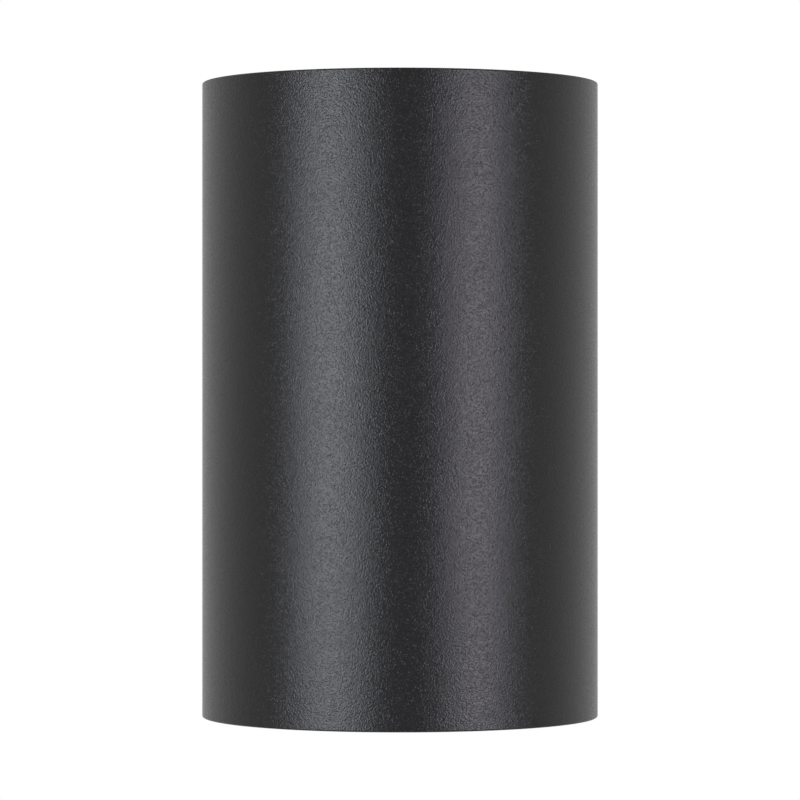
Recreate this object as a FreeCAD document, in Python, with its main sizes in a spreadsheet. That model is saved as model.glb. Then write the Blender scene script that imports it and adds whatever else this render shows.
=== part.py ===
"""Outdoor wall sconce: a cylinder that shines down, held off the wall by a short arm and a round canopy.

The wall is the plane y = 0 and the front of the sconce looks along -Y, with +Z up. The origin is the
middle of the outlet box behind the canopy. Two drawing frames are used:
- the cylinder frame has its origin on the cylinder's axis at half height, with the same three directions
- the wall frame has x to the right, y up and z out of the wall
"""

import FreeCAD
import Part
import math
import os
import Sketcher
from types import SimpleNamespace

FULL_TURN = 360
QUARTER_TURN = 90
HALF_TURN = 180
BAFFLE_STEP_COUNT = 6
CAP_THREAD_COUNT = 4
LAMP_FIN_COUNT = 24
OUTER_OPTIC_COUNT = 6
RING_NOTCH_COUNT = 4

# Driving dimensions, in millimetres
SIZES = {
    # Cylinder housing
    "housing_radius": 63.5,
    "housing_height": 203.2,
    "housing_wall": 3.0,
    "roof_thickness": 3.5,
    "housing_edge": 0.5,
    "roof_fillet": 3.0,
    "shelf_width": 0.8,
    "mouth_depth": 55.0,
    "boss_radius": 4.5,
    "boss_height": 8.0,
    "boss_spacing": 56.0,
    "boss_hole_depth": 7.5,
    "pad_width": 30.0,
    "pad_height": 46.0,
    "pad_depth": 3.5,
    "wire_hole_radius": 6.5,
    "set_screw_radius": 1.5,
    "set_screw_recess": 0.2,
    "set_screw_socket_radius": 0.85,
    "set_screw_socket_depth": 1.2,
    # Lens cover in the mouth
    "ring_recess": 2.0,
    "ring_floor": 3.0,
    "ring_wall": 3.8,
    "ring_ledge_width": 4.7,
    "ring_relief": 0.5,
    "ring_edge": 0.8,
    "notch_width": 8.0,
    "notch_reach": 5.0,
    "notch_depth": 1.5,
    "gasket_lip": 1.5,
    "gasket_web": 1.4,
    "gasket_overhang": 0.5,
    "glass_thickness": 4.0,
    "glass_edge": 0.5,
    # Baffle above the lens cover
    "baffle_lamp_gap": 3.0,
    "baffle_flare": 4.0,
    "baffle_thickness": 1.5,
    # Lamp holder
    "bracket_end": 8.0,
    "bracket_width": 24.0,
    "bracket_thickness": 1.5,
    "bracket_flange": 5.0,
    "bracket_corner": 3.0,
    "socket_radius": 20.0,
    "socket_height": 44.0,
    "socket_edge": 1.5,
    "socket_floor": 8.0,
    "socket_cavity_radius": 8.5,
    "shell_thickness": 0.5,
    "shell_length": 26.0,
    "shell_set_in": 1.5,
    "shell_flange_radius": 9.2,
    "leaf_thickness": 0.6,
    "leaf_width": 6.0,
    "leaf_half_length": 5.5,
    "leaf_bend": 1.6,
    # Lamp
    "lamp_side_gap": 13.0,
    "lamp_length": 110.0,
    "lamp_insertion": 25.0,
    "lamp_bezel_thickness": 2.5,
    "lamp_bezel_width": 4.5,
    "lamp_rim_height": 14.0,
    "lamp_recess_depth": 12.0,
    "lamp_rim_wall": 3.0,
    "lamp_fin_thickness": 1.5,
    "lamp_fin_depth": 5.0,
    "lamp_neck_radius": 16.0,
    "lamp_core_wall": 2.2,
    "lamp_floor": 3.0,
    "driver_width": 22.0,
    "driver_thickness": 1.6,
    "transformer_width": 14.0,
    "transformer_depth": 9.0,
    "transformer_height": 13.0,
    "capacitor_radius": 5.0,
    "capacitor_length": 16.0,
    "optic_plate": 2.0,
    "optic_foot_radius": 4.5,
    "board_thickness": 1.6,
    "board_margin": 4.5,
    "chip_width": 5.0,
    "chip_thickness": 0.8,
    "cap_crest_radius": 13.1,
    "cap_valley_radius": 12.4,
    "cap_inner_radius": 11.9,
    "cap_pitch": 3.63,
    "cap_skirt": 3.0,
    "cap_shoulder": 2.5,
    "cap_top_radius": 10.4,
    "cap_metal": 0.5,
    "insulator_height": 4.0,
    "insulator_tip_radius": 6.0,
    "eyelet_radius": 4.8,
    "eyelet_height": 1.6,
    "spigot_length": 8.0,
    "spigot_wall": 1.8,
    # Arm between the canopy and the housing
    "arm_radius": 22.0,
    "arm_length": 22.0,
    "arm_bore_radius": 7.0,
    "arm_seal_thickness": 1.2,
    "arm_seal_inset": 0.5,
    "arm_screw_spacing": 28.0,
    "arm_hole_depth": 10.0,
    "foot_screw_spacing": 29.0,
    "foot_hole_depth": 10.5,
    "bushing_bore_radius": 4.0,
    "bushing_flange_radius": 8.5,
    "bushing_flange": 1.5,
    # Canopy and its gasket
    "canopy_depth": 20.5,
    "canopy_wall": 2.5,
    "canopy_edge": 3.0,
    "canopy_inner_edge": 1.0,
    "foam_thickness": 2.0,
    "foam_width": 6.0,
    "foam_inset": 0.5,
    "foam_clearance": 0.64,
    "ground_boss_radius": 4.0,
    "ground_boss_height": 5.0,
    "ground_boss_drop": 27.0,
    # Mounting strap
    "strap_thickness": 1.6,
    "strap_width": 20.0,
    "strap_end": 2.3,
    "strap_upright_end": 10.0,
    "strap_rise": 4.0,
    "strap_bend_start": 22.0,
    "strap_bend_end": 27.0,
    "strap_corner": 4.0,
    "slot_spacing": 79.375,
    "slot_length": 14.0,
    "slot_radius": 2.25,
    "ground_screw_drop": 18.0,
    # Studs and cap nuts
    "stud_radius": 2.08,
    "stud_spacing": 70.0,
    "stud_engagement": 6.0,
    "stud_hole_radius": 2.4,
    "nut_thickness": 3.2,
    "nut_corner_radius": 5.0,
    "cap_nut_corner_radius": 5.5,
    "cap_nut_hex_height": 5.0,
    "cap_nut_dome_height": 4.5,
    "cap_nut_spare_depth": 1.0,
    "washer_radius": 5.8,
    "washer_thickness": 1.0,
    # Wires
    "lead_radius": 1.2,
    "lead_spread": 2.2,
    "terminal_spread": 5.0,
    "terminal_drop": 4.0,
    "terminal_depth": 7.0,
    "lead_standoff": 10.0,
    "lead_bend": 8.0,
    "lead_tail_bend": 6.0,
    "connector_start": 18.0,
    "connector_length": 22.0,
    "connector_mouth_radius": 6.2,
    "connector_tip_radius": 4.4,
    "connector_skirt_radius": 3.4,
    "connector_skirt_depth": 5.0,
    "connector_grip": 11.0,
    "ground_wire_radius": 1.0,
    "ground_wire_bend": 4.2,
    "ground_wire_reach": 17.0,
    "lug_radius": 3.9,
    "lug_thickness": 0.8,
    "lug_barrel_radius": 1.7,
    "lug_barrel_start": 5.0,
    "lug_barrel_length": 5.5,
    # Screws: thread radius, length, head radius, head height
    "m5_radius": 2.5,
    "m5_length": 16.0,
    "m5_head_radius": 4.6,
    "m5_head_height": 3.2,
    "m5_washer_thickness": 1.1,
    "m4_radius": 2.0,
    "m4_head_radius": 3.9,
    "m4_head_height": 2.6,
    "bracket_screw_length": 8.0,
    "foot_screw_length": 11.0,
    "socket_screw_radius": 1.7,
    "socket_screw_length": 7.0,
    "socket_screw_spacing": 19.0,
    "socket_screw_head_radius": 3.2,
    "socket_screw_head_height": 2.2,
    "ground_screw_radius": 1.9,
    "ground_screw_length": 5.0,
    "ground_screw_head_radius": 4.2,
    "ground_screw_head_height": 2.8,
    "ground_screw_hex_radius": 3.4,
    "ground_screw_flange": 0.7,
    "recess_width": 0.9,
    "recess_depth": 1.4,
    # Clearances
    "running_gap": 0.3,
    "snug_gap": 0.1,
    "thread_gap": 0.05,
    "clearance_gap": 0.3,
    "overrun": 2.0,
}

# The lamp's heat sink behind its rim: share of the way out from the neck, and of the way to the cap
LAMP_PROFILE_SHARES = ((0.955, 0.0), (0.82, 0.22), (0.55, 0.50), (0.25, 0.76), (0.125, 0.90))
# Of the recess in the lamp's front: how far out the ring of optics is, and how large each optic is
OPTIC_CIRCLE_SHARE = 0.607
OPTIC_RADIUS_SHARE = 0.258
# How much of the lamp's core the power supply fills, and where its parts start along it
DRIVER_LENGTH_SHARE = 0.78
TRANSFORMER_START_SHARE = 0.17
CAPACITOR_START_SHARE = 0.54
# The leaf contact's bent tongue: share of its half length, where the tongue starts and ends
LEAF_TONGUE_SHARES = (0.10, -0.60)
# Of a screw head: how far its rounding comes down, and how wide its cross recess is
HEAD_ROUND_SHARE = 0.62
RECESS_WIDTH_SHARE = 0.62
EYELET_ROUND_SHARE = 0.62
BEZEL_ROUND_SHARE = 0.62
# Where the two set screws stand, as degrees from the sconce's right, round the back
SET_SCREW_ANGLES = (40, 140)

doc = FreeCAD.newDocument("WallSconce")
WALL_FRAME = FreeCAD.Rotation(FreeCAD.Vector(1, 0, 0), QUARTER_TURN)
ALONG_X = FreeCAD.Rotation(FreeCAD.Vector(0, 1, 0), QUARTER_TURN)
ALONG_Y = FreeCAD.Rotation(FreeCAD.Vector(1, 0, 0), -QUARTER_TURN)
UPSIDE_DOWN = FreeCAD.Rotation(FreeCAD.Vector(1, 0, 0), HALF_TURN)


class Size:
    """A length that keeps its number together with the sheet expression that gives it."""

    def __init__(self, number, text):
        self.number = float(number)
        self.text = text

    def __add__(self, other):
        return Size(self.number + number_of(other), f"({self.text} + {text_of(other)})")

    def __sub__(self, other):
        return Size(self.number - number_of(other), f"({self.text} - {text_of(other)})")

    def __mul__(self, other):
        return Size(self.number * number_of(other), f"({self.text} * {text_of(other)})")

    def __truediv__(self, other):
        return Size(self.number / number_of(other), f"({self.text} / {text_of(other)})")

    def __neg__(self):
        return Size(-self.number, f"(0 - {self.text})")


def root(size):
    return Size(math.sqrt(size.number), f"sqrt({size.text})")


def number_of(value):
    return value.number if isinstance(value, Size) else float(value)


def text_of(value):
    return value.text if isinstance(value, Size) else f"({value:.12f})"


def make_sheet():
    """Writes the driving dimensions into the sheet and returns them as sizes with their names."""
    sheet = doc.addObject("Spreadsheet::Sheet", "Sizes")
    for row, (name, number) in enumerate(SIZES.items(), start=1):
        sheet.set(f"A{row}", name)
        sheet.set(f"B{row}", str(number))
        sheet.setAlias(f"B{row}", name)
    doc.recompute()
    return SimpleNamespace(**{name: Size(number, f"Sizes.{name}") for name, number in SIZES.items()})


mm = make_sheet()

# Places that several pieces share, in the cylinder frame
TOP = mm.housing_height / 2
CEILING = TOP - mm.roof_thickness
INNER_RADIUS = mm.housing_radius - mm.housing_wall
MOUTH_RADIUS = INNER_RADIUS + mm.shelf_width
PAD_FLAT = INNER_RADIUS - mm.pad_depth
SHELF = mm.mouth_depth - TOP
RING_BOTTOM = mm.ring_recess - TOP
RING_RADIUS = MOUTH_RADIUS - mm.running_gap
RING_SEAT_RADIUS = RING_RADIUS - mm.ring_wall
RING_BORE_RADIUS = RING_SEAT_RADIUS - mm.ring_ledge_width
LEDGE = RING_BOTTOM + mm.ring_floor
SET_SCREW_LEVEL = RING_BOTTOM + mm.ring_floor / 2
GASKET_HEIGHT = mm.gasket_lip * 2 + mm.glass_thickness
GASKET_TOP = LEDGE + GASKET_HEIGHT
GASKET_RADIUS = RING_SEAT_RADIUS - mm.snug_gap
GLASS_RADIUS = GASKET_RADIUS - mm.gasket_web - mm.snug_gap
LAMP_RADIUS = INNER_RADIUS - mm.lamp_side_gap
LAMP_RECESS_RADIUS = LAMP_RADIUS - mm.lamp_rim_wall
BAFFLE_THROAT = LAMP_RADIUS + mm.baffle_lamp_gap
BRACKET_TOP = CEILING - mm.boss_height
SOCKET_TOP = BRACKET_TOP - mm.bracket_thickness
SOCKET_MOUTH = SOCKET_TOP - mm.socket_height
SHELL_INNER_RADIUS = mm.cap_crest_radius + mm.running_gap
SHELL_RADIUS = SHELL_INNER_RADIUS + mm.shell_thickness
LAMP_TIP = SOCKET_MOUTH + mm.lamp_insertion
LAMP_FACE = LAMP_TIP - mm.lamp_length
TERMINAL_HEIGHT = SOCKET_TOP - mm.terminal_drop

# Places that several pieces share, in the wall frame
CANOPY_FRONT = mm.foam_thickness + mm.canopy_depth
CANOPY_INSIDE = CANOPY_FRONT - mm.canopy_wall
AXIS_OUT = CANOPY_FRONT + mm.arm_length + mm.housing_radius
SADDLE_RADIUS = mm.housing_radius + mm.arm_seal_thickness
PAD_FACE = AXIS_OUT - PAD_FLAT
STRAP_BACK = mm.strap_rise
STRAP_FRONT = mm.strap_rise + mm.strap_thickness
STRAP_REACH = (mm.slot_spacing + mm.slot_length) / 2 + mm.strap_end
STRAP_CORNER_RADIUS = root(STRAP_REACH * STRAP_REACH + mm.strap_width * mm.strap_width / 4)
FOAM_INNER_RADIUS = STRAP_CORNER_RADIUS + mm.foam_clearance
FOAM_RADIUS = FOAM_INNER_RADIUS + mm.foam_width
CANOPY_RADIUS = FOAM_RADIUS + mm.foam_inset
GROUND_BOSS_FACE = CANOPY_INSIDE - mm.ground_boss_height
WIRE_LEVEL = (STRAP_FRONT + CANOPY_INSIDE) / 2

# Places on the lamp, measured from its front face towards its cap
LAMP_BODY_END = mm.lamp_length - mm.cap_skirt - mm.cap_pitch * CAP_THREAD_COUNT - mm.cap_shoulder \
    - mm.insulator_height - mm.eyelet_height
LAMP_RECESS_FLOOR = mm.lamp_bezel_thickness + mm.lamp_recess_depth
LAMP_CAVITY_FLOOR = LAMP_RECESS_FLOOR + mm.lamp_floor
CAP_TOP = LAMP_BODY_END + mm.cap_skirt + mm.cap_pitch * CAP_THREAD_COUNT + mm.cap_shoulder
OPTIC_CIRCLE = LAMP_RECESS_RADIUS * OPTIC_CIRCLE_SHARE
OPTIC_RADIUS = LAMP_RECESS_RADIUS * OPTIC_RADIUS_SHARE
DRIVER_LENGTH = (LAMP_BODY_END - LAMP_CAVITY_FLOOR) * DRIVER_LENGTH_SHARE


def bind(feature, path, value):
    """Ties a property to the sheet, or sets it where the value is a plain number."""
    if isinstance(value, Size):
        feature.setExpression(path, value.text)
    else:
        setattr(feature, path, value)


def place(feature, x=0, y=0, z=0, turn=None):
    """Puts a feature at a place that follows the sheet."""
    base = FreeCAD.Vector(number_of(x), number_of(y), number_of(z))
    feature.Placement = FreeCAD.Placement(base, turn or FreeCAD.Rotation())
    for axis, value in zip("xyz", (x, y, z)):
        if isinstance(value, Size):
            feature.setExpression(f"Placement.Base.{axis}", value.text)
    return feature


def on_cylinder_axis(feature, z=0):
    """Places a piece drawn in the cylinder frame."""
    return place(feature, y=-AXIS_OUT, z=z)


def in_wall_frame(feature):
    """Places a piece drawn in the wall frame."""
    return place(feature, turn=WALL_FRAME)


# Sketches

def new_sketch(body, name, role, offset=0):
    """A sketch on one of the body's own planes, moved along the plane's normal by offset."""
    sketch = body.newObject("Sketcher::SketchObject", name)
    plane = next(item for item in body.Origin.OriginFeatures if item.Role == role)
    sketch.AttachmentSupport = [(plane, "")]
    sketch.MapMode = "FlatFace"
    if isinstance(offset, Size):
        sketch.setExpression("AttachmentOffset.Base.z", offset.text)
    return sketch


def fix(sketch, kind, where, value):
    """Adds one driving constraint and ties it to the sheet."""
    index = sketch.addConstraint(Sketcher.Constraint(kind, *where, number_of(value)))
    if isinstance(value, Size):
        name = f"{kind}_{index}"
        sketch.renameConstraint(index, name)
        sketch.setExpression(f"Constraints.{name}", value.text)


def fix_point(sketch, geometry, end, x, y):
    fix(sketch, "DistanceX", (-1, 1, geometry, end), x)
    fix(sketch, "DistanceY", (-1, 1, geometry, end), y)


def vector(x, y, z=0):
    return FreeCAD.Vector(number_of(x), number_of(y), number_of(z))


def circle(sketch, x, y, radius):
    round_shape = Part.Circle(vector(x, y), vector(0, 0, 1), number_of(radius))
    index = sketch.addGeometry(round_shape, False)
    fix_point(sketch, index, 3, x, y)
    fix(sketch, "Radius", (index,), radius)


def step_towards(start, end):
    """The unit step along one axis from a corner towards its neighbour."""
    return tuple((e > s) - (e < s) if abs(e - s) > 1e-6 else 0 for s, e in zip(start, end))


def shifted(point, step, distance):
    """A point moved by a distance along a unit step."""
    return tuple(
        value if not side else (distance + value if side > 0 else -distance + value)
        for value, side in zip(point, step)
    )


def outline(sketch, points):
    """Draws a closed outline. Each point is (x, y), or (x, y, rounding) at a square corner."""
    spots = [(number_of(point[0]), number_of(point[1])) for point in points]
    corners = []
    for i, point in enumerate(points):
        here = point[:2]
        if len(point) == 2:
            corners.append((here, here, None))
            continue
        back = step_towards(spots[i], spots[i - 1])
        ahead = step_towards(spots[i], spots[(i + 1) % len(spots)])
        corners.append((shifted(here, back, point[2]), shifted(here, ahead, point[2]), point[2]))
    lines = []
    for i, corner in enumerate(corners):
        target = corners[(i + 1) % len(corners)][0]
        lines.append(sketch.addGeometry(Part.LineSegment(vector(*corner[1]), vector(*target)), False))
    for i, (entry, leave, rounding) in enumerate(corners):
        fix_point(sketch, lines[i], 1, *leave)
        if rounding is None:
            sketch.addConstraint(Sketcher.Constraint("Coincident", lines[i - 1], 2, lines[i], 1))
        else:
            fix_point(sketch, lines[i - 1], 2, *entry)
            round_corner(sketch, spots[i], entry, leave, rounding, lines[i - 1], lines[i])


def round_corner(sketch, spot, entry, leave, rounding, line_in, line_out):
    """Joins two lines with a quarter circle at the corner they would have met in."""
    start = vector(*entry)
    end = vector(*leave)
    corner = FreeCAD.Vector(spot[0], spot[1], 0)
    centre = start + end - corner
    middle = centre + (corner - centre).normalize() * number_of(rounding)
    arc = sketch.addGeometry(Part.Arc(start, middle, end), False)
    counterclockwise = (start - centre).cross(end - centre).z > 0
    first, last = (1, 2) if counterclockwise else (2, 1)
    sketch.addConstraint(Sketcher.Constraint("Coincident", line_in, 2, arc, first))
    sketch.addConstraint(Sketcher.Constraint("Coincident", line_out, 1, arc, last))
    fix(sketch, "Radius", (arc,), rounding)


def rectangle(x_low, y_low, x_high, y_high, rounding=None):
    """The four points of an upright rectangle, with all corners rounded alike."""
    ends = ((x_low, y_low), (x_high, y_low), (x_high, y_high), (x_low, y_high))
    return [end if rounding is None else (*end, rounding) for end in ends]


def slot(sketch, x, length, radius):
    """A slot along the sketch's x axis, centred on (x, 0)."""
    reach = length / 2 - radius
    left = x - reach
    right = x + reach
    lines = []
    for start, end, y in ((left, right, -radius), (right, left, radius)):
        line = Part.LineSegment(vector(start, y), vector(end, y))
        lines.append(sketch.addGeometry(line, False))
        fix_point(sketch, lines[-1], 1, start, y)
        fix_point(sketch, lines[-1], 2, end, y)
    for middle, low, high in ((right, lines[0], lines[1]), (left, lines[1], lines[0])):
        side = 1 if middle is right else -1
        tip = vector(middle + radius * side, 0)
        arc = Part.Arc(vector(middle, -radius * side), tip, vector(middle, radius * side))
        index = sketch.addGeometry(arc, False)
        sketch.addConstraint(Sketcher.Constraint("Coincident", low, 2, index, 1))
        sketch.addConstraint(Sketcher.Constraint("Coincident", high, 1, index, 2))
        fix(sketch, "DistanceX", (-1, 1, index, 3), middle)


# Features of a body

def new_body(label):
    body = doc.addObject("PartDesign::Body", label)
    body.Label = label
    return body


def add_feature(body, kind, sketch):
    doc.recompute()
    feature = body.newObject(f"PartDesign::{kind}", f"{body.Name}_{kind}")
    feature.Profile = sketch
    return feature


def turn_outline(body, points):
    """Revolves an outline of (radius, height) points about the body's Z axis."""
    sketch = new_sketch(body, f"{body.Name}_Section", "XZ_Plane")
    outline(sketch, points)
    feature = add_feature(body, "Revolution", sketch)
    feature.ReferenceAxis = (sketch, ["V_Axis"])
    feature.Angle = FULL_TURN
    return feature


def pad(body, sketch, length, both_ways=False):
    feature = add_feature(body, "Pad", sketch)
    bind(feature, "Length", length)
    feature.Midplane = both_ways
    return feature


def pocket(body, sketch, length, along_normal=False):
    """Cuts against the sketch's normal, or along it, and checks that something was cut."""
    doc.recompute()
    before = body.Shape.Volume
    feature = add_feature(body, "Pocket", sketch)
    bind(feature, "Length", length)
    feature.Reversed = along_normal
    doc.recompute()
    if not body.Shape.Volume < before:
        raise RuntimeError(f"{feature.Name} cuts nothing")
    return feature


def repeat_round(body, feature, count):
    """Repeats a feature about the body's Z axis."""
    pattern = body.newObject("PartDesign::PolarPattern", f"{body.Name}_Round")
    pattern.Originals = [feature]
    axis = next(item for item in body.Origin.OriginFeatures if item.Role == "Z_Axis")
    pattern.Axis = (axis, [""])
    pattern.Angle = FULL_TURN
    pattern.Occurrences = count
    body.Tip = pattern
    return pattern


def turned(label, points):
    """A body that is one revolved outline."""
    body = new_body(label)
    turn_outline(body, points)
    return body


# Primitives and booleans

def cylinder(name, radius, height, x=0, y=0, z=0, turn=None):
    feature = doc.addObject("Part::Cylinder", name)
    bind(feature, "Radius", radius)
    bind(feature, "Height", height)
    return place(feature, x, y, z, turn)


def block(name, length, width, height, x=0, y=0, z=0):
    """A box centred on x and y that stands on z."""
    feature = doc.addObject("Part::Box", name)
    bind(feature, "Length", length)
    bind(feature, "Width", width)
    bind(feature, "Height", height)
    return place(feature, length / -2 + x, width / -2 + y, z)


def hexagon(name, corner_radius, height, x=0, y=0, z=0):
    feature = doc.addObject("Part::Prism", name)
    feature.Polygon = 6
    bind(feature, "Circumradius", corner_radius)
    bind(feature, "Height", height)
    return place(feature, x, y, z)


def joined(name, parts):
    feature = doc.addObject("Part::MultiFuse", name)
    feature.Shapes = parts
    feature.Refine = True
    return feature


def shared(name, parts):
    feature = doc.addObject("Part::MultiCommon", name)
    feature.Shapes = parts
    return feature


def cut(name, base, tools):
    feature = doc.addObject("Part::Cut", name)
    feature.Base = base
    feature.Tool = tools[0] if len(tools) == 1 else joined(f"{name}_Tools", tools)
    return feature


def group(name, parts):
    """Identical pieces that share one name."""
    feature = doc.addObject("Part::Compound", name)
    feature.Links = parts
    return feature


def pan_screw(name, radius, length, head_radius, head_height):
    """A pan head screw with a cross recess: its head is above z = 0 and its shank below."""
    shank = cylinder(f"{name}_Shank", radius, length, z=-length)
    head = turned(f"{name}_Head", [
        (0, 0),
        (head_radius, 0),
        (head_radius, head_height, head_height * HEAD_ROUND_SHARE),
        (0, head_height),
    ])
    recess_length = head_radius * 2 * RECESS_WIDTH_SHARE
    floor = head_height - mm.recess_depth
    arms = [
        block(f"{name}_RecessA", recess_length, mm.recess_width, mm.recess_depth + mm.overrun, z=floor),
        block(f"{name}_RecessB", mm.recess_width, recess_length, mm.recess_depth + mm.overrun, z=floor),
    ]
    return cut(name, joined(f"{name}_Blank", [shank, head]), arms)


def screw_pair(name, sizes, places, turn):
    """Two like pan head screws under one name."""
    screws = []
    for number, (x, y, z) in enumerate(places):
        screws.append(place(pan_screw(f"{name}_{number}", *sizes), x, y, z, turn))
    return group(name, screws)


def mirrored_places(x=0, y=0, z=0):
    """A place and its opposite across the middle, at the same height z."""
    return [(x, y, z), (-x, -y, z)]


# Housing and lens cover

def housing():
    body = new_body("HousingCasting")
    turn_outline(body, [
        (0, TOP),
        (mm.housing_radius, TOP, mm.housing_edge),
        (mm.housing_radius, -TOP, mm.housing_edge),
        (MOUTH_RADIUS, -TOP),
        (MOUTH_RADIUS, SHELF),
        (INNER_RADIUS, SHELF),
        (INNER_RADIUS, CEILING, mm.roof_fillet),
        (0, CEILING),
    ])
    bosses = new_sketch(body, "HousingBosses", "XY_Plane", BRACKET_TOP)
    holes = new_sketch(body, "HousingBossHoles", "XY_Plane", BRACKET_TOP)
    for side in (-1, 1):
        circle(bosses, mm.boss_spacing / 2 * side, 0, mm.boss_radius)
        circle(holes, mm.boss_spacing / 2 * side, 0, mm.m4_radius + mm.thread_gap)
    pad(body, bosses, mm.boss_height)
    pocket(body, holes, mm.boss_hole_depth, along_normal=True)
    add_arm_pad(body)
    rear_holes = new_sketch(body, "HousingRearHoles", "XZ_Plane")
    circle(rear_holes, 0, 0, mm.wire_hole_radius)
    for side in (-1, 1):
        circle(rear_holes, 0, mm.arm_screw_spacing / 2 * side, mm.m5_radius + mm.clearance_gap)
    pocket(body, rear_holes, mm.housing_radius + mm.overrun)
    tapped_radius = mm.set_screw_radius + mm.thread_gap
    tools = [
        cylinder(f"SetScrewHole_{number}", tapped_radius, mm.housing_radius,
                 z=SET_SCREW_LEVEL, turn=heading)
        for number, heading in enumerate(set_screw_headings())
    ]
    return on_cylinder_axis(cut("housing", body, tools))


def set_screw_headings():
    """The turns that lay a piece drawn upright along each set screw, pointing outward."""
    up = FreeCAD.Vector(0, 0, 1)
    return [
        FreeCAD.Rotation(up, angle) * FreeCAD.Rotation(FreeCAD.Vector(0, 1, 0), QUARTER_TURN)
        for angle in SET_SCREW_ANGLES
    ]


def lens_set_screws():
    """Two small socket set screws at the back of the mouth, which bear on the lens ring."""
    start = RING_RADIUS + mm.thread_gap
    end = mm.housing_radius - mm.set_screw_recess
    screws = []
    for number, heading in enumerate(set_screw_headings()):
        blank = cylinder(f"SetScrewBlank_{number}", mm.set_screw_radius, end - start, z=start)
        socket = hexagon(f"SetScrewSocket_{number}", mm.set_screw_socket_radius,
                         mm.set_screw_socket_depth + mm.overrun, z=end - mm.set_screw_socket_depth)
        screws.append(place(cut(f"SetScrew_{number}", blank, [socket]), z=SET_SCREW_LEVEL, turn=heading))
    return on_cylinder_axis(group("lens_set_screws", screws))


def add_arm_pad(body):
    """The flat inside the rear wall that the arm screws' washers bear on."""
    middle_radius = mm.housing_radius - mm.housing_wall / 2
    half_width = mm.pad_width / 2
    side_depth = root(middle_radius * middle_radius - half_width * half_width)
    sketch = new_sketch(body, "HousingArmPad", "XY_Plane", mm.pad_height / -2)
    outline(sketch, [
        (-half_width, PAD_FLAT),
        (half_width, PAD_FLAT),
        (half_width, side_depth),
        (0, middle_radius),
        (-half_width, side_depth),
    ])
    pad(body, sketch, mm.pad_height)


def lens_ring():
    body = new_body("lens_ring")
    wall_top = GASKET_TOP - mm.ring_relief
    turn_outline(body, [
        (RING_BORE_RADIUS, RING_BOTTOM, mm.ring_edge),
        (RING_RADIUS, RING_BOTTOM, mm.ring_edge),
        (RING_RADIUS, wall_top),
        (RING_SEAT_RADIUS, wall_top),
        (RING_SEAT_RADIUS, LEDGE),
        (RING_BORE_RADIUS, LEDGE),
    ])
    sketch = new_sketch(body, "RingNotch", "XY_Plane", RING_BOTTOM)
    half_width = mm.notch_width / 2
    inner = RING_BORE_RADIUS - mm.overrun
    outline(sketch, rectangle(inner, -half_width, RING_BORE_RADIUS + mm.notch_reach, half_width))
    repeat_round(body, pocket(body, sketch, mm.notch_depth, along_normal=True), RING_NOTCH_COUNT)
    return on_cylinder_axis(body)


def lens_gasket():
    inner = RING_BORE_RADIUS + mm.gasket_overhang
    groove = GASKET_RADIUS - mm.gasket_web
    return on_cylinder_axis(turned("lens_gasket", [
        (inner, LEDGE),
        (GASKET_RADIUS, LEDGE),
        (GASKET_RADIUS, GASKET_TOP),
        (inner, GASKET_TOP),
        (inner, GASKET_TOP - mm.gasket_lip),
        (groove, GASKET_TOP - mm.gasket_lip),
        (groove, LEDGE + mm.gasket_lip),
        (inner, LEDGE + mm.gasket_lip),
    ]))


def lens_glass():
    low = LEDGE + mm.gasket_lip
    high = GASKET_TOP - mm.gasket_lip
    return on_cylinder_axis(turned("lens_glass", [
        (0, low),
        (GLASS_RADIUS, low, mm.glass_edge),
        (GLASS_RADIUS, high, mm.glass_edge),
        (0, high),
    ]))


def baffle():
    """A stepped ring that widens towards the lens, so that the wall shows no glare."""
    outer = MOUTH_RADIUS - mm.snug_gap
    thick = mm.baffle_thickness
    widening = mm.baffle_flare / (BAFFLE_STEP_COUNT - 1)
    step_height = (SHELF - GASKET_TOP) / BAFFLE_STEP_COUNT
    radii = [BAFFLE_THROAT + widening * i for i in range(BAFFLE_STEP_COUNT)]
    treads = [SHELF - step_height * (i + 1) for i in range(BAFFLE_STEP_COUNT - 1)]
    points = [(radii[0], SHELF)]
    for i, tread in enumerate(treads):
        points += [(radii[i], tread), (radii[i + 1], tread)]
    points += [(radii[-1], GASKET_TOP), (outer, GASKET_TOP), (outer, GASKET_TOP + thick)]
    points.append((radii[-1] + thick, GASKET_TOP + thick))
    for i in range(len(treads) - 1, -1, -1):
        points += [(radii[i + 1] + thick, treads[i] + thick), (radii[i] + thick, treads[i] + thick)]
    points += [(radii[0] + thick, SHELF - thick), (outer, SHELF - thick), (outer, SHELF)]
    return on_cylinder_axis(turned("baffle", points))


# Lamp holder

def socket_bracket():
    """A channel of sheet steel, screwed to the two bosses under the roof."""
    body = new_body("socket_bracket")
    half_length = mm.boss_spacing / 2 + mm.bracket_end
    half_width = mm.bracket_width / 2
    plate = new_sketch(body, "BracketPlate", "XY_Plane", SOCKET_TOP)
    outline(plate, rectangle(-half_length, -half_width, half_length, half_width, mm.bracket_corner))
    for side in (-1, 1):
        circle(plate, mm.boss_spacing / 2 * side, 0, mm.m4_radius + mm.clearance_gap)
        circle(plate, mm.socket_screw_spacing / 2 * side, 0, mm.socket_screw_radius + mm.clearance_gap)
    pad(body, plate, mm.bracket_thickness)
    flange_end = half_length - mm.bracket_corner
    inner = half_width - mm.bracket_thickness
    for name, low, high in (("Rear", inner, half_width), ("Front", -half_width, -inner)):
        flange = new_sketch(body, f"Bracket{name}Flange", "XY_Plane", BRACKET_TOP)
        outline(flange, rectangle(-flange_end, low, flange_end, high))
        pad(body, flange, mm.bracket_flange)
    return on_cylinder_axis(body)


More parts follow.
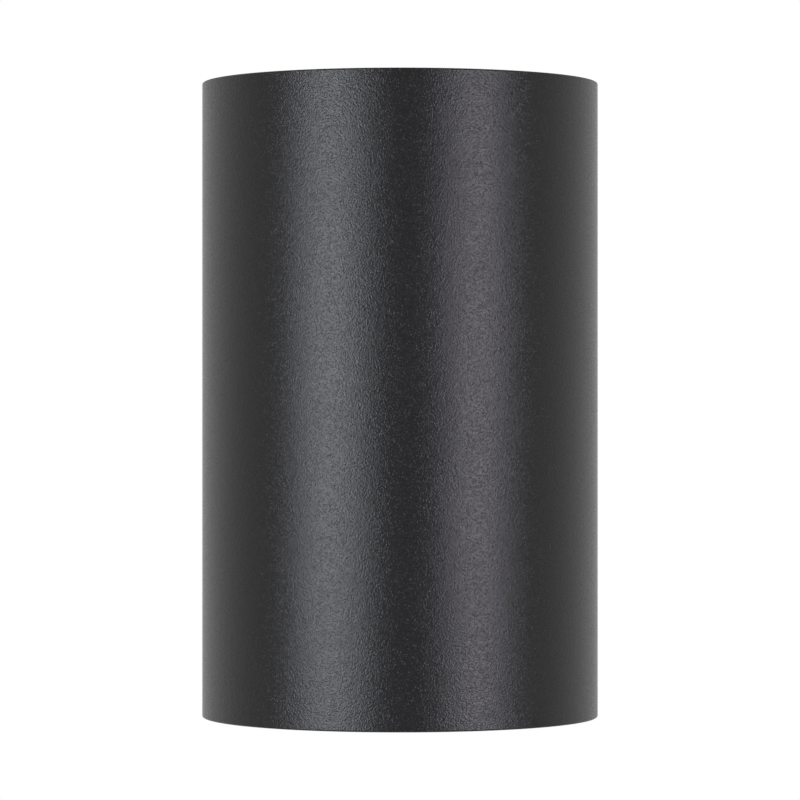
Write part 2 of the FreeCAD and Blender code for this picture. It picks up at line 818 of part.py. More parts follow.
def bracket_screws():
    sizes = (mm.m4_radius, mm.bracket_screw_length, mm.m4_head_radius, mm.m4_head_height)
    places = mirrored_places(x=mm.boss_spacing / 2, z=SOCKET_TOP)
    return on_cylinder_axis(screw_pair("bracket_screws", sizes, places, UPSIDE_DOWN))


def socket_screws():
    sizes = (
        mm.socket_screw_radius, mm.socket_screw_length,
        mm.socket_screw_head_radius, mm.socket_screw_head_height,
    )
    places = mirrored_places(x=mm.socket_screw_spacing / 2, z=BRACKET_TOP)
    return on_cylinder_axis(screw_pair("socket_screws", sizes, places, None))


def socket_body():
    body = new_body("socket_body")
    bore = SHELL_RADIUS + mm.snug_gap
    step = SOCKET_MOUTH + mm.shell_set_in + mm.shell_length
    floor = SOCKET_TOP - mm.socket_floor
    turn_outline(body, [
        (0, SOCKET_TOP),
        (mm.socket_radius, SOCKET_TOP, mm.socket_edge),
        (mm.socket_radius, SOCKET_MOUTH, mm.socket_edge),
        (bore, SOCKET_MOUTH),
        (bore, step),
        (mm.socket_cavity_radius, step),
        (mm.socket_cavity_radius, floor),
        (0, floor),
    ])
    screw_holes = new_sketch(body, "SocketScrewHoles", "XY_Plane", SOCKET_TOP)
    for side in (-1, 1):
        circle(screw_holes, mm.socket_screw_spacing / 2 * side, 0, mm.socket_screw_radius + mm.thread_gap)
    pocket(body, screw_holes, mm.socket_screw_length - mm.bracket_thickness + mm.thread_gap)
    hole_start = mm.socket_radius - mm.terminal_depth
    wire_holes = new_sketch(body, "SocketWireHoles", "XZ_Plane", -hole_start)
    for side in (-1, 1):
        circle(wire_holes, mm.terminal_spread * side, TERMINAL_HEIGHT, mm.lead_radius + mm.snug_gap)
    pocket(body, wire_holes, mm.terminal_depth + mm.overrun)
    return on_cylinder_axis(body)


def socket_shell():
    """The screw shell, a thin tube with a flange at its inner end."""
    low = SOCKET_MOUTH + mm.shell_set_in
    high = low + mm.shell_length
    return on_cylinder_axis(turned("socket_shell", [
        (SHELL_INNER_RADIUS, low),
        (SHELL_RADIUS, low),
        (SHELL_RADIUS, high),
        (mm.shell_flange_radius, high),
        (mm.shell_flange_radius, high - mm.shell_thickness),
        (SHELL_INNER_RADIUS, high - mm.shell_thickness),
    ]))


def socket_contact():
    """A leaf spring on the cavity's floor, bent back so that its tongue meets the lamp's eyelet."""
    body = new_body("socket_contact")
    floor = SOCKET_TOP - mm.socket_floor
    reach = mm.leaf_half_length
    thick = mm.leaf_thickness
    tip = LAMP_TIP + mm.running_gap
    bend = floor - mm.leaf_bend
    start, end = LEAF_TONGUE_SHARES
    sketch = new_sketch(body, "LeafSide", "XZ_Plane")
    outline(sketch, [
        (-reach, floor),
        (reach, floor),
        (reach, bend),
        (reach * start, tip),
        (reach * end, tip),
        (reach * end, tip + thick),
        (reach * start - thick / 2, tip + thick),
        (reach - thick, bend),
        (reach - thick, floor - thick),
        (-reach, floor - thick),
    ])
    pad(body, sketch, mm.leaf_width, both_ways=True)
    return on_cylinder_axis(body)


# Lamp

def lamp_body():
    """Heat sink of the lamp: a hollow core with fins, and a round recess for the optics in front."""
    body = new_body("lamp_body")
    rim_start = mm.lamp_bezel_thickness
    rim_end = rim_start + mm.lamp_rim_height
    taper_length = LAMP_BODY_END - rim_end
    flare = LAMP_RADIUS - mm.lamp_neck_radius
    envelope = [
        (mm.lamp_neck_radius + flare * out_share, rim_end + taper_length * height_share)
        for out_share, height_share in LAMP_PROFILE_SHARES
    ]
    core = [(radius - mm.lamp_fin_depth, height) for radius, height in envelope]
    inside = [(radius - mm.lamp_core_wall, height) for radius, height in core]
    spigot_radius = mm.cap_inner_radius - mm.snug_gap
    spigot_bore = spigot_radius - mm.spigot_wall
    spigot_end = LAMP_BODY_END + mm.spigot_length
    turn_outline(body, [
        (0, LAMP_RECESS_FLOOR),
        (LAMP_RECESS_RADIUS, LAMP_RECESS_FLOOR),
        (LAMP_RECESS_RADIUS, rim_start),
        (LAMP_RADIUS, rim_start),
        (LAMP_RADIUS, rim_end),
        *core,
        (mm.lamp_neck_radius, LAMP_BODY_END),
        (spigot_radius, LAMP_BODY_END),
        (spigot_radius, spigot_end),
        (spigot_bore, spigot_end),
        (spigot_bore, LAMP_BODY_END),
        *reversed(inside[1:]),
        (inside[0][0], LAMP_CAVITY_FLOOR),
        (0, LAMP_CAVITY_FLOOR),
    ])
    blade = new_sketch(body, "LampFin", "XZ_Plane")
    roots = [(radius - mm.lamp_core_wall / 2, height) for radius, height in core]
    outline(blade, [*envelope, *reversed(roots)])
    fin = pad(body, blade, mm.lamp_fin_thickness, both_ways=True)
    repeat_round(body, fin, LAMP_FIN_COUNT)
    return on_cylinder_axis(body, LAMP_FACE)


def lamp_bezel():
    opening = LAMP_RADIUS - mm.lamp_bezel_width
    return on_cylinder_axis(turned("lamp_bezel", [
        (opening, 0, mm.housing_edge),
        (LAMP_RADIUS, 0, mm.lamp_bezel_thickness * BEZEL_ROUND_SHARE),
        (LAMP_RADIUS, mm.lamp_bezel_thickness),
        (opening, mm.lamp_bezel_thickness),
    ]), LAMP_FACE)


def optic_places():
    """Middle and ring of the lamp's optics, seen from the front."""
    places = [(0, 0)]
    for i in range(OUTER_OPTIC_COUNT):
        angle = math.radians(FULL_TURN * i / OUTER_OPTIC_COUNT)
        places.append((OPTIC_CIRCLE * math.cos(angle), OPTIC_CIRCLE * math.sin(angle)))
    return places


def lamp_optic():
    """One clear moulding: a plate with a collimating cone behind each light source."""
    plate_radius = LAMP_RECESS_RADIUS - mm.snug_gap
    back = mm.lamp_bezel_thickness + mm.optic_plate
    foot = LAMP_RECESS_FLOOR - mm.board_thickness - mm.chip_thickness - mm.running_gap
    parts = [cylinder("OpticPlate", plate_radius, mm.optic_plate, z=mm.lamp_bezel_thickness)]
    for number, (x, y) in enumerate(optic_places()):
        cone = doc.addObject("Part::Cone", f"OpticCone_{number}")
        bind(cone, "Radius1", OPTIC_RADIUS)
        bind(cone, "Radius2", mm.optic_foot_radius)
        bind(cone, "Height", foot - back)
        parts.append(place(cone, x, y, back))
    return on_cylinder_axis(joined("lamp_optic", parts), LAMP_FACE)


def lamp_board():
    """The round circuit board that carries the light sources, with its foil side to the front."""
    low = LAMP_RECESS_FLOOR - mm.board_thickness
    radius = LAMP_RECESS_RADIUS - mm.board_margin
    body = turned("lamp_board", [
        (0, low), (radius, low), (radius, LAMP_RECESS_FLOOR), (0, LAMP_RECESS_FLOOR),
    ])
    return on_cylinder_axis(body, LAMP_FACE)


def lamp_chips():
    low = LAMP_RECESS_FLOOR - mm.board_thickness - mm.chip_thickness
    chips = [
        block(f"Chip_{number}", mm.chip_width, mm.chip_width, mm.chip_thickness, x, y, low)
        for number, (x, y) in enumerate(optic_places())
    ]
    return on_cylinder_axis(group("lamp_chips", chips), LAMP_FACE)


def lamp_driver():
    """The lamp's power supply: a circuit board on end in the core, with a transformer and a capacitor."""
    face = mm.driver_thickness / 2
    transformer_start = LAMP_CAVITY_FLOOR + DRIVER_LENGTH * TRANSFORMER_START_SHARE
    capacitor_start = LAMP_CAVITY_FLOOR + DRIVER_LENGTH * CAPACITOR_START_SHARE
    parts = [
        block("DriverBoard", mm.driver_width, mm.driver_thickness, DRIVER_LENGTH, z=LAMP_CAVITY_FLOOR),
        block("DriverTransformer", mm.transformer_width, mm.transformer_depth, mm.transformer_height,
              y=face + mm.transformer_depth / 2, z=transformer_start),
        cylinder("DriverCapacitor", mm.capacitor_radius, mm.capacitor_length,
                 y=-mm.capacitor_radius, z=capacitor_start),
    ]
    return on_cylinder_axis(joined("lamp_driver", parts), LAMP_FACE)


def lamp_cap():
    """The lamp's screw cap, a thin shell. Its thread is drawn as rings, one to each turn."""
    start = LAMP_BODY_END
    thread_start = start + mm.cap_skirt
    thread_end = thread_start + mm.cap_pitch * CAP_THREAD_COUNT
    top_inside = CAP_TOP - mm.cap_metal
    points = [
        (mm.cap_inner_radius, start),
        (mm.cap_crest_radius, start),
        (mm.cap_crest_radius, thread_start),
    ]
    for i in range(CAP_THREAD_COUNT):
        valley = thread_start + mm.cap_pitch * (i + 0.5)
        crest = thread_start + mm.cap_pitch * (i + 1)
        points.append((mm.cap_valley_radius, valley))
        if i < CAP_THREAD_COUNT - 1:
            points.append((mm.cap_crest_radius, crest))
    points += [
        (mm.cap_valley_radius, thread_end),
        (mm.cap_top_radius, CAP_TOP),
        (mm.insulator_tip_radius, CAP_TOP),
        (mm.insulator_tip_radius, top_inside),
        (mm.cap_top_radius - mm.cap_metal, top_inside),
        (mm.cap_inner_radius, thread_end),
    ]
    return on_cylinder_axis(turned("lamp_cap", points), LAMP_FACE)


def lamp_insulator():
    tip = CAP_TOP + mm.insulator_height
    return on_cylinder_axis(turned("lamp_insulator", [
        (0, CAP_TOP), (mm.cap_top_radius, CAP_TOP), (mm.insulator_tip_radius, tip), (0, tip),
    ]), LAMP_FACE)


def lamp_eyelet():
    low = CAP_TOP + mm.insulator_height
    high = low + mm.eyelet_height
    return on_cylinder_axis(turned("lamp_eyelet", [
        (0, low),
        (mm.eyelet_radius, low),
        (mm.eyelet_radius, high, mm.eyelet_height * EYELET_ROUND_SHARE),
        (0, high),
    ]), LAMP_FACE)


# Arm

def arm():
    """A round neck whose outer end is hollowed to sit on the cylinder."""
    length = AXIS_OUT - CANOPY_FRONT
    rod = cylinder("ArmRod", mm.arm_radius, length, z=CANOPY_FRONT)
    saddle_length = mm.arm_radius * 2 + mm.overrun * 2
    saddle = cylinder("ArmSaddle", SADDLE_RADIUS, saddle_length,
                      y=saddle_length / -2, z=AXIS_OUT, turn=ALONG_Y)
    bore = cylinder("ArmBore", mm.arm_bore_radius, length + mm.overrun, z=CANOPY_FRONT - mm.overrun)
    tools = [saddle, bore]
    screw_start = AXIS_OUT - SADDLE_RADIUS - mm.arm_hole_depth
    for number, side in enumerate((-1, 1)):
        tools.append(cylinder(
            f"ArmScrewHole_{number}", mm.m5_radius + mm.thread_gap, length,
            y=mm.arm_screw_spacing / 2 * side, z=screw_start,
        ))
        tools.append(cylinder(
            f"ArmFootHole_{number}", mm.m4_radius + mm.thread_gap, mm.foot_hole_depth + mm.overrun,
            x=mm.foot_screw_spacing / 2 * side, z=CANOPY_FRONT - mm.overrun,
        ))
    return in_wall_frame(cut("arm", rod, tools))


def arm_seal():
    """A curved sheet of rubber between the arm's saddle and the cylinder."""
    rod = cylinder("SealRod", mm.arm_radius - mm.arm_seal_inset, AXIS_OUT - CANOPY_FRONT, z=CANOPY_FRONT)
    height = mm.arm_radius * 2 + mm.overrun * 2
    outer = cylinder(
        "SealOuter", SADDLE_RADIUS - mm.snug_gap, height, y=height / -2, z=AXIS_OUT, turn=ALONG_Y,
    )
    inner = cylinder(
        "SealInner", mm.housing_radius + mm.snug_gap, height, y=height / -2, z=AXIS_OUT, turn=ALONG_Y,
    )
    tools = [inner, cylinder("SealWireHole", mm.arm_bore_radius + mm.arm_seal_inset, AXIS_OUT)]
    for number, side in enumerate((-1, 1)):
        tools.append(cylinder(
            f"SealScrewHole_{number}", mm.m5_radius + mm.clearance_gap, AXIS_OUT,
            y=mm.arm_screw_spacing / 2 * side,
        ))
    return in_wall_frame(cut("arm_seal", shared("SealSheet", [rod, outer]), tools))


def arm_screws():
    sizes = (mm.m5_radius, mm.m5_length, mm.m5_head_radius, mm.m5_head_height)
    places = mirrored_places(y=mm.arm_screw_spacing / 2, z=PAD_FACE + mm.m5_washer_thickness)
    return in_wall_frame(screw_pair("arm_screws", sizes, places, None))


def arm_washers():
    washers = []
    for number, (x, y, z) in enumerate(mirrored_places(y=mm.arm_screw_spacing / 2, z=PAD_FACE)):
        disc = cylinder(f"ArmWasherDisc_{number}", mm.m5_head_radius, mm.m5_washer_thickness, x, y, z)
        hole = cylinder(f"ArmWasherHole_{number}", mm.m5_radius + mm.snug_gap, AXIS_OUT, x, y)
        washers.append(cut(f"ArmWasher_{number}", disc, [hole]))
    return in_wall_frame(group("arm_washers", washers))


def wire_bushing():
    """A plastic bush that keeps the leads off the edge of the wire hole."""
    back = AXIS_OUT - mm.housing_radius
    sleeve = mm.wire_hole_radius - mm.snug_gap
    return in_wall_frame(turned("wire_bushing", [
        (mm.bushing_bore_radius, back),
        (sleeve, back),
        (sleeve, PAD_FACE),
        (mm.bushing_flange_radius, PAD_FACE),
        (mm.bushing_flange_radius, PAD_FACE + mm.bushing_flange, mm.bushing_flange / 2),
        (mm.bushing_bore_radius, PAD_FACE + mm.bushing_flange, mm.bushing_flange / 2),
    ]))


# Canopy and strap

def canopy():
    """The round cover over the outlet box, open at the wall."""
    body = new_body("canopy")
    inner = CANOPY_RADIUS - mm.canopy_wall
    turn_outline(body, [
        (inner, mm.foam_thickness),
        (CANOPY_RADIUS, mm.foam_thickness),
        (CANOPY_RADIUS, CANOPY_FRONT, mm.canopy_edge),
        (0, CANOPY_FRONT),
        (0, CANOPY_INSIDE),
        (inner, CANOPY_INSIDE, mm.canopy_inner_edge),
    ])
    boss = new_sketch(body, "CanopyGroundBoss", "XY_Plane", GROUND_BOSS_FACE)
    circle(boss, 0, -mm.ground_boss_drop, mm.ground_boss_radius)
    pad(body, boss, mm.ground_boss_height)
    tapped = new_sketch(body, "CanopyGroundHole", "XY_Plane", GROUND_BOSS_FACE)
    circle(tapped, 0, -mm.ground_boss_drop, mm.ground_screw_radius + mm.thread_gap)
    pocket(body, tapped, mm.ground_screw_length, along_normal=True)
    holes = new_sketch(body, "CanopyHoles", "XY_Plane", CANOPY_FRONT)
    circle(holes, 0, 0, mm.arm_bore_radius)
    for side in (-1, 1):
        circle(holes, mm.foot_screw_spacing / 2 * side, 0, mm.m4_radius + mm.clearance_gap)
        circle(holes, 0, mm.stud_spacing / 2 * side, mm.stud_hole_radius)
    pocket(body, holes, mm.canopy_wall + mm.overrun)
    return in_wall_frame(body)


def canopy_gasket():
    return in_wall_frame(turned("canopy_gasket", [
        (FOAM_INNER_RADIUS, 0),
        (FOAM_RADIUS, 0),
        (FOAM_RADIUS, mm.foam_thickness),
        (FOAM_INNER_RADIUS, mm.foam_thickness),
    ]))


def foot_screws():
    sizes = (mm.m4_radius, mm.foot_screw_length, mm.m4_head_radius, mm.m4_head_height)
    places = mirrored_places(x=mm.foot_screw_spacing / 2, z=CANOPY_INSIDE)
    return in_wall_frame(screw_pair("foot_screws", sizes, places, UPSIDE_DOWN))


def mounting_strap():
    """A cross of sheet steel: slotted ends lie on the outlet box, the raised middle holds the studs."""
    body = new_body("mounting_strap")
    thick = mm.strap_thickness
    half_length = STRAP_REACH
    half_width = mm.strap_width / 2
    low_bend = mm.strap_bend_end
    high_bend = mm.strap_bend_start
    side_view = new_sketch(body, "StrapSide", "XZ_Plane")
    outline(side_view, [
        (-half_length, 0),
        (-low_bend, 0),
        (-high_bend, STRAP_BACK),
        (high_bend, STRAP_BACK),
        (low_bend, 0),
        (half_length, 0),
        (half_length, thick),
        (low_bend + thick / 2, thick),
        (high_bend + thick / 2, STRAP_FRONT),
        (-high_bend - thick / 2, STRAP_FRONT),
        (-low_bend - thick / 2, thick),
        (-half_length, thick),
    ])
    pad(body, side_view, mm.strap_width, both_ways=True)
    upright = new_sketch(body, "StrapUpright", "XY_Plane", STRAP_BACK)
    half_height = mm.stud_spacing / 2 + mm.strap_upright_end
    outline(upright, rectangle(-half_width, -half_height, half_width, half_height, mm.strap_corner))
    pad(body, upright, thick)
    holes = new_sketch(body, "StrapHoles", "XY_Plane", STRAP_FRONT)
    for side in (-1, 1):
        slot(holes, mm.slot_spacing / 2 * side, mm.slot_length, mm.slot_radius)
        circle(holes, 0, mm.stud_spacing / 2 * side, mm.stud_radius + mm.thread_gap)
    circle(holes, 0, -mm.ground_screw_drop, mm.ground_screw_radius + mm.thread_gap)
    circle(holes, 0, 0, mm.arm_bore_radius)
    pocket(body, holes, STRAP_FRONT + mm.overrun)
    return in_wall_frame(body)


def stud_places(z):
    return mirrored_places(y=mm.stud_spacing / 2, z=z)


def strap_studs():
    length = CANOPY_FRONT + mm.washer_thickness + mm.stud_engagement - STRAP_BACK
    studs = [
        cylinder(f"Stud_{number}", mm.stud_radius, length, *spot)
        for number, spot in enumerate(stud_places(STRAP_BACK))
    ]
    return in_wall_frame(group("strap_studs", studs))


def stud_nuts():
    nuts = []
    for number, (x, y, z) in enumerate(stud_places(STRAP_FRONT)):
        blank = hexagon(f"NutBlank_{number}", mm.nut_corner_radius, mm.nut_thickness, x, y, z)
        hole = cylinder(f"NutHole_{number}", mm.stud_radius + mm.thread_gap, AXIS_OUT, x, y)
        nuts.append(cut(f"Nut_{number}", blank, [hole]))
    return in_wall_frame(group("stud_nuts", nuts))


def cap_washers():
    washers = []
    for number, (x, y, z) in enumerate(stud_places(CANOPY_FRONT)):
        disc = cylinder(f"CapWasherDisc_{number}", mm.washer_radius, mm.washer_thickness, x, y, z)
        hole = cylinder(f"CapWasherHole_{number}", mm.stud_radius + mm.snug_gap, AXIS_OUT, x, y)
        washers.append(cut(f"CapWasher_{number}", disc, [hole]))
    return in_wall_frame(group("cap_washers", washers))


def cap_nuts():
    """Domed nuts that hold the canopy on the studs."""
    nuts = []
    seat = CANOPY_FRONT + mm.washer_thickness
    height = mm.cap_nut_hex_height + mm.cap_nut_dome_height
    for number, (x, y, z) in enumerate(stud_places(seat)):
        hexagon_part = hexagon(f"CapNutHex_{number}", mm.cap_nut_corner_radius, mm.cap_nut_hex_height,
                               x, y, z)
        dome = place(turned(f"CapNutDome_{number}", [
            (0, 0),
            (mm.cap_nut_dome_height, 0),
            (mm.cap_nut_dome_height, height, mm.cap_nut_dome_height - mm.snug_gap),
            (0, height),
        ]), x, y, z)
        depth = mm.stud_engagement + mm.cap_nut_spare_depth
        bore = cylinder(f"CapNutBore_{number}", mm.stud_radius + mm.thread_gap, depth + mm.overrun, x, y,
                        z - mm.overrun)
        blank = joined(f"CapNutBlank_{number}", [hexagon_part, dome])
        nuts.append(cut(f"CapNut_{number}", blank, [bore]))
    return in_wall_frame(group("cap_nuts", nuts))


# Wiring

def ground_screws():
    """Hex washer head screws: one in the strap, one in the canopy's boss."""
    spots = (
        (-mm.ground_screw_drop, STRAP_FRONT + mm.lug_thickness, None),
        (-mm.ground_boss_drop, GROUND_BOSS_FACE - mm.lug_thickness, UPSIDE_DOWN),
    )
    screws = []
    for number, (y, z, turn) in enumerate(spots):
        parts = [
            cylinder(f"GroundShank_{number}", mm.ground_screw_radius, mm.ground_screw_length,
                     z=-mm.ground_screw_length),
            cylinder(f"GroundFlange_{number}", mm.ground_screw_head_radius, mm.ground_screw_flange),
            hexagon(f"GroundHex_{number}", mm.ground_screw_hex_radius, mm.ground_screw_head_height),
        ]
        slot_cut = block(f"GroundSlot_{number}", mm.ground_screw_head_radius * 2, mm.recess_width,
                         mm.recess_depth + mm.overrun, z=mm.ground_screw_head_height - mm.recess_depth)
        screw = cut(f"GroundScrew_{number}", joined(f"GroundBlank_{number}", parts), [slot_cut])
        screws.append(place(screw, 0, y, z, turn))
    return in_wall_frame(group("ground_screws", screws))


def ground_lugs():
    """Crimped ring terminals under the two ground screws. Their barrels point along +x."""
    spots = (
        (-mm.ground_screw_drop, STRAP_FRONT, None),
        (-mm.ground_boss_drop, GROUND_BOSS_FACE, UPSIDE_DOWN),
    )
    lugs = []
    for number, (y, z, turn) in enumerate(spots):
        barrel_end = mm.lug_barrel_start + mm.lug_barrel_length
        parts = [
            cylinder(f"LugEye_{number}", mm.lug_radius, mm.lug_thickness),
            block(f"LugTongue_{number}", mm.lug_barrel_start + mm.lug_thickness, mm.lug_barrel_radius * 2,
                  mm.lug_thickness, x=(mm.lug_barrel_start + mm.lug_thickness) / 2),
            cylinder(f"LugBarrel_{number}", mm.lug_barrel_radius, mm.lug_barrel_length,
                     x=mm.lug_barrel_start, z=mm.lug_barrel_radius, turn=ALONG_X),
        ]
        tools = [
            cylinder(f"LugHole_{number}", mm.ground_screw_radius + mm.snug_gap,
                     mm.lug_thickness + mm.overrun * 2, z=-mm.overrun),
            cylinder(f"LugBore_{number}", mm.ground_wire_radius + mm.snug_gap,
                     barrel_end - mm.lug_barrel_start - mm.lug_thickness + mm.overrun,
                     x=mm.lug_barrel_start + mm.lug_thickness, z=mm.lug_barrel_radius, turn=ALONG_X),
        ]
        lug = cut(f"Lug_{number}", joined(f"LugBlank_{number}", parts), tools)
        lugs.append(place(lug, 0, y, z, turn))
    return in_wall_frame(group("ground_lugs", lugs))


def wire_solid(name, points, bends, radius):
    """A round wire along straight runs joined by tangent arcs."""
    spots = [vector(*point) for point in points]
    edges = []
    start = spots[0]
    for i, bend in enumerate(bends, start=1):
        into = (spots[i] - spots[i - 1]).normalize()
        out = (spots[i + 1] - spots[i]).normalize()
        half_turn = into.getAngle(out) / 2
        setback = number_of(bend) * math.tan(half_turn)
        arc_start = spots[i] - into * setback
        arc_end = spots[i] + out * setback
        towards_centre = (out - into).normalize()
        centre = spots[i] + towards_centre * (number_of(bend) / math.cos(half_turn))
        arc_middle = centre - towards_centre * number_of(bend)
        edges.append(Part.LineSegment(start, arc_start).toShape())
        edges.append(Part.Arc(arc_start, arc_middle, arc_end).toShape())
        start = arc_end
    edges.append(Part.LineSegment(start, spots[-1]).toShape())
    path = Part.Wire(edges)
    section = Part.Wire(Part.Circle(spots[0], spots[1] - spots[0], number_of(radius)).toShape())
    solid = path.makePipeShell([section], True, True)
    expected = math.pi * number_of(radius) ** 2 * path.Length
    print(f"{name}: {path.Length:.1f} mm long, bends {[round(number_of(b), 1) for b in bends]} mm,"
          f" volume {solid.Volume / expected:.4f} of section times length")
    feature = doc.addObject("Part::Feature", name)
    feature.Shape = solid
    return in_wall_frame(feature)


def diagonal(distance):
    """How far along x, and along y, a run at 45 degrees goes for its length."""
    return distance * math.sqrt(0.5)


def lead(name, side):
    """A fixture lead: from the lamp holder down the rear wall, through the arm and into a connector."""
    drop = PAD_FACE + mm.lead_standoff
    tail = diagonal(mm.connector_start + mm.connector_grip)
    terminal = AXIS_OUT - mm.socket_radius + mm.terminal_depth - mm.snug_gap
    points = [
        (mm.terminal_spread * side, TERMINAL_HEIGHT, terminal),
        (mm.terminal_spread * side, TERMINAL_HEIGHT, drop),
        (mm.lead_spread * side, 0, drop),
        (mm.lead_spread * side, 0, WIRE_LEVEL),
        ((mm.lead_spread + tail) * side, tail, WIRE_LEVEL),
    ]
    return wire_solid(name, points, (mm.lead_bend, mm.lead_bend, mm.lead_tail_bend), mm.lead_radius)


def wire_connectors():
    """Twist-on connectors on the two leads, lying in the upper corners of the canopy."""
    connectors = []
    start = diagonal(mm.connector_start)
    for number, side in enumerate((-1, 1)):
        body = turned(f"WireConnector_{number}", [
            (mm.connector_skirt_radius, 0),
            (mm.connector_mouth_radius, 0),
            (mm.connector_tip_radius, mm.connector_length),
            (0, mm.connector_length),
            (0, mm.connector_grip + mm.snug_gap),
            (mm.lead_radius + mm.snug_gap, mm.connector_grip + mm.snug_gap),
            (mm.lead_radius + mm.snug_gap, mm.connector_skirt_depth),
            (mm.connector_skirt_radius, mm.connector_skirt_depth),
        ])
        heading = FreeCAD.Rotation(FreeCAD.Vector(0, 0, 1), FreeCAD.Vector(side, 1, 0))
        connectors.append(place(body, (mm.lead_spread + start) * side, start, WIRE_LEVEL, heading))
    return in_wall_frame(group("wire_connectors", connectors))


def ground_wire():
    """The bonding wire from the strap's lug round to the canopy's lug."""
    start = mm.lug_barrel_start + mm.lug_thickness + mm.snug_gap
    strap_side = STRAP_FRONT + mm.lug_barrel_radius
    canopy_side = GROUND_BOSS_FACE - mm.lug_barrel_radius
    points = [
        (start, -mm.ground_screw_drop, strap_side),
        (mm.ground_wire_reach, -mm.ground_screw_drop, strap_side),
        (mm.ground_wire_reach, -mm.ground_boss_drop, canopy_side),
        (start, -mm.ground_boss_drop, canopy_side),
    ]
    bends = (mm.ground_wire_bend, mm.ground_wire_bend)
    return wire_solid("ground_wire", points, bends, mm.ground_wire_radius)


def build():
    return [
        housing(), lens_ring(), lens_gasket(), lens_glass(), lens_set_screws(), baffle(),
        socket_bracket(), bracket_screws(), socket_screws(),
        socket_body(), socket_shell(), socket_contact(),
        lamp_body(), lamp_bezel(), lamp_optic(), lamp_board(), lamp_chips(), lamp_driver(), lamp_cap(),
        lamp_insulator(), lamp_eyelet(),
        arm(), arm_seal(), arm_screws(), arm_washers(), wire_bushing(),
        canopy(), canopy_gasket(), foot_screws(),
        mounting_strap(), strap_studs(), stud_nuts(), cap_washers(), cap_nuts(),
        ground_screws(), ground_lugs(), lead("lead_black", -1), lead("lead_white", 1), wire_connectors(),
        ground_wire(),
    ]


def check(pieces):
    """Stops with a plain message if any feature failed or any piece isn't sound."""
    failed = [item.Name for item in doc.Objects if {"Invalid", "Error"} & set(item.State)]
    if failed:
        raise RuntimeError(f"failed features: {failed}")
    for piece in pieces:
        shape = piece.Shape
        if shape.isNull() or not shape.isValid() or not shape.Solids:
            raise RuntimeError(f"{piece.Label} has no sound shape")


def write(pieces):
    os.makedirs("parts", exist_ok=True)
    for piece in pieces:
        piece.Shape.exportStep(f"parts/{piece.Label}.step")
        print(f"{piece.Label}: {len(piece.Shape.Solids)} solid(s), {piece.Shape.Volume:.0f} mm3")


def main():
    pieces = build()
    doc.recompute()
    check(pieces)
    write(pieces)


main()
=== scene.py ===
"""Looks of an outdoor wall sconce: finishes, threaded and moulded details, and a white studio.

The wall is the plane y = 0, the front looks along -Y and +Z is up. A new piece is shaped about the Z axis,
then placed by a matrix: CYLINDER puts it on the cylinder's axis, and WALL turns +Z out of the wall, with
x to the right and y up.
"""

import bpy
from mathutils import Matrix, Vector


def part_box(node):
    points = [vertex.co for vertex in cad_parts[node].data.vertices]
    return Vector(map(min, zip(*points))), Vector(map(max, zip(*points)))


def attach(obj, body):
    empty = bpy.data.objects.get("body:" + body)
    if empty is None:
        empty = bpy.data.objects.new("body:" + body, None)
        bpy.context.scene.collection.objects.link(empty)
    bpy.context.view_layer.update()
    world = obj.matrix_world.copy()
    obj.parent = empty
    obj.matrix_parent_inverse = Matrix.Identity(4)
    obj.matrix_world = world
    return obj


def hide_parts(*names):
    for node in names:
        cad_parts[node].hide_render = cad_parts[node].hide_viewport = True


bl_info = {
    "name": "Outdoor Wall Sconce",
    "version": (1, 0, 0),
    "blender": (4, 5, 0),
    "location": "3D Viewport > Sidebar > Sconce",
    "description": "Finishes and details of an outdoor cylinder wall sconce, with its studio",
    "category": "Object",
}

import math

import bmesh
import bpy
from bpy.props import FloatProperty, FloatVectorProperty, IntProperty, PointerProperty
from bpy.types import Operator, Panel, PropertyGroup
from mathutils import Matrix, Vector, noise

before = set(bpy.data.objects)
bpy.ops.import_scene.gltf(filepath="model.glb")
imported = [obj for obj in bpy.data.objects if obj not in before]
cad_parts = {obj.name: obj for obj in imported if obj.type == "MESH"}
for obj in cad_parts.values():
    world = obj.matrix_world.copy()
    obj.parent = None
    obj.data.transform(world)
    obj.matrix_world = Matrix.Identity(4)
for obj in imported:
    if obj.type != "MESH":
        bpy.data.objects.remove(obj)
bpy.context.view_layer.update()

HOUSING_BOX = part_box("housing")
AXIS_OUT = -(HOUSING_BOX[0].y + HOUSING_BOX[1].y) / 2
CYLINDER = Matrix.Translation((0, -AXIS_OUT, 0))
WALL = Matrix.Rotation(math.radians(90), 4, "X")
UPSIDE_DOWN = Matrix.Rotation(math.radians(180), 4, "X")

# Points nearer than this are one
SAME_POINT = 1e-6
# Edges shorter than this are none
NO_LENGTH = 1e-7
# Points as near as this to a CAD face lie on it
ON_FACE = 1e-5
# A hexagon's width across its flats, as a share of that across its corners
FLAT_SHARE = math.cos(math.radians(30))
# Rows of points to each turn of the lamp cap's thread and of a screw's, and facets round the cap
CAP_ROWS = 14
SCREW_ROWS = 6
CAP_FACETS = 96
# Facets round a nut's turned faces and dome, and round its hole
NUT_FACETS = 48
HOLE_FACETS = 32
# A screw's groove: how wide its root is, and how steeply its flanks rise
ROOT_WIDTH = 1.25
FLANK_SLOPE = 2.9

# Turns the coat's grain out of line with the walls, in radians
GRAIN_TURN = (0.62, 0.91, 0.37)
# How far the coat's roughness varies, and between which depths under the top the duller roof sets in
COAT_SHEEN = 0.004
ROOF_EDGE = (0.0004, 0.0001)
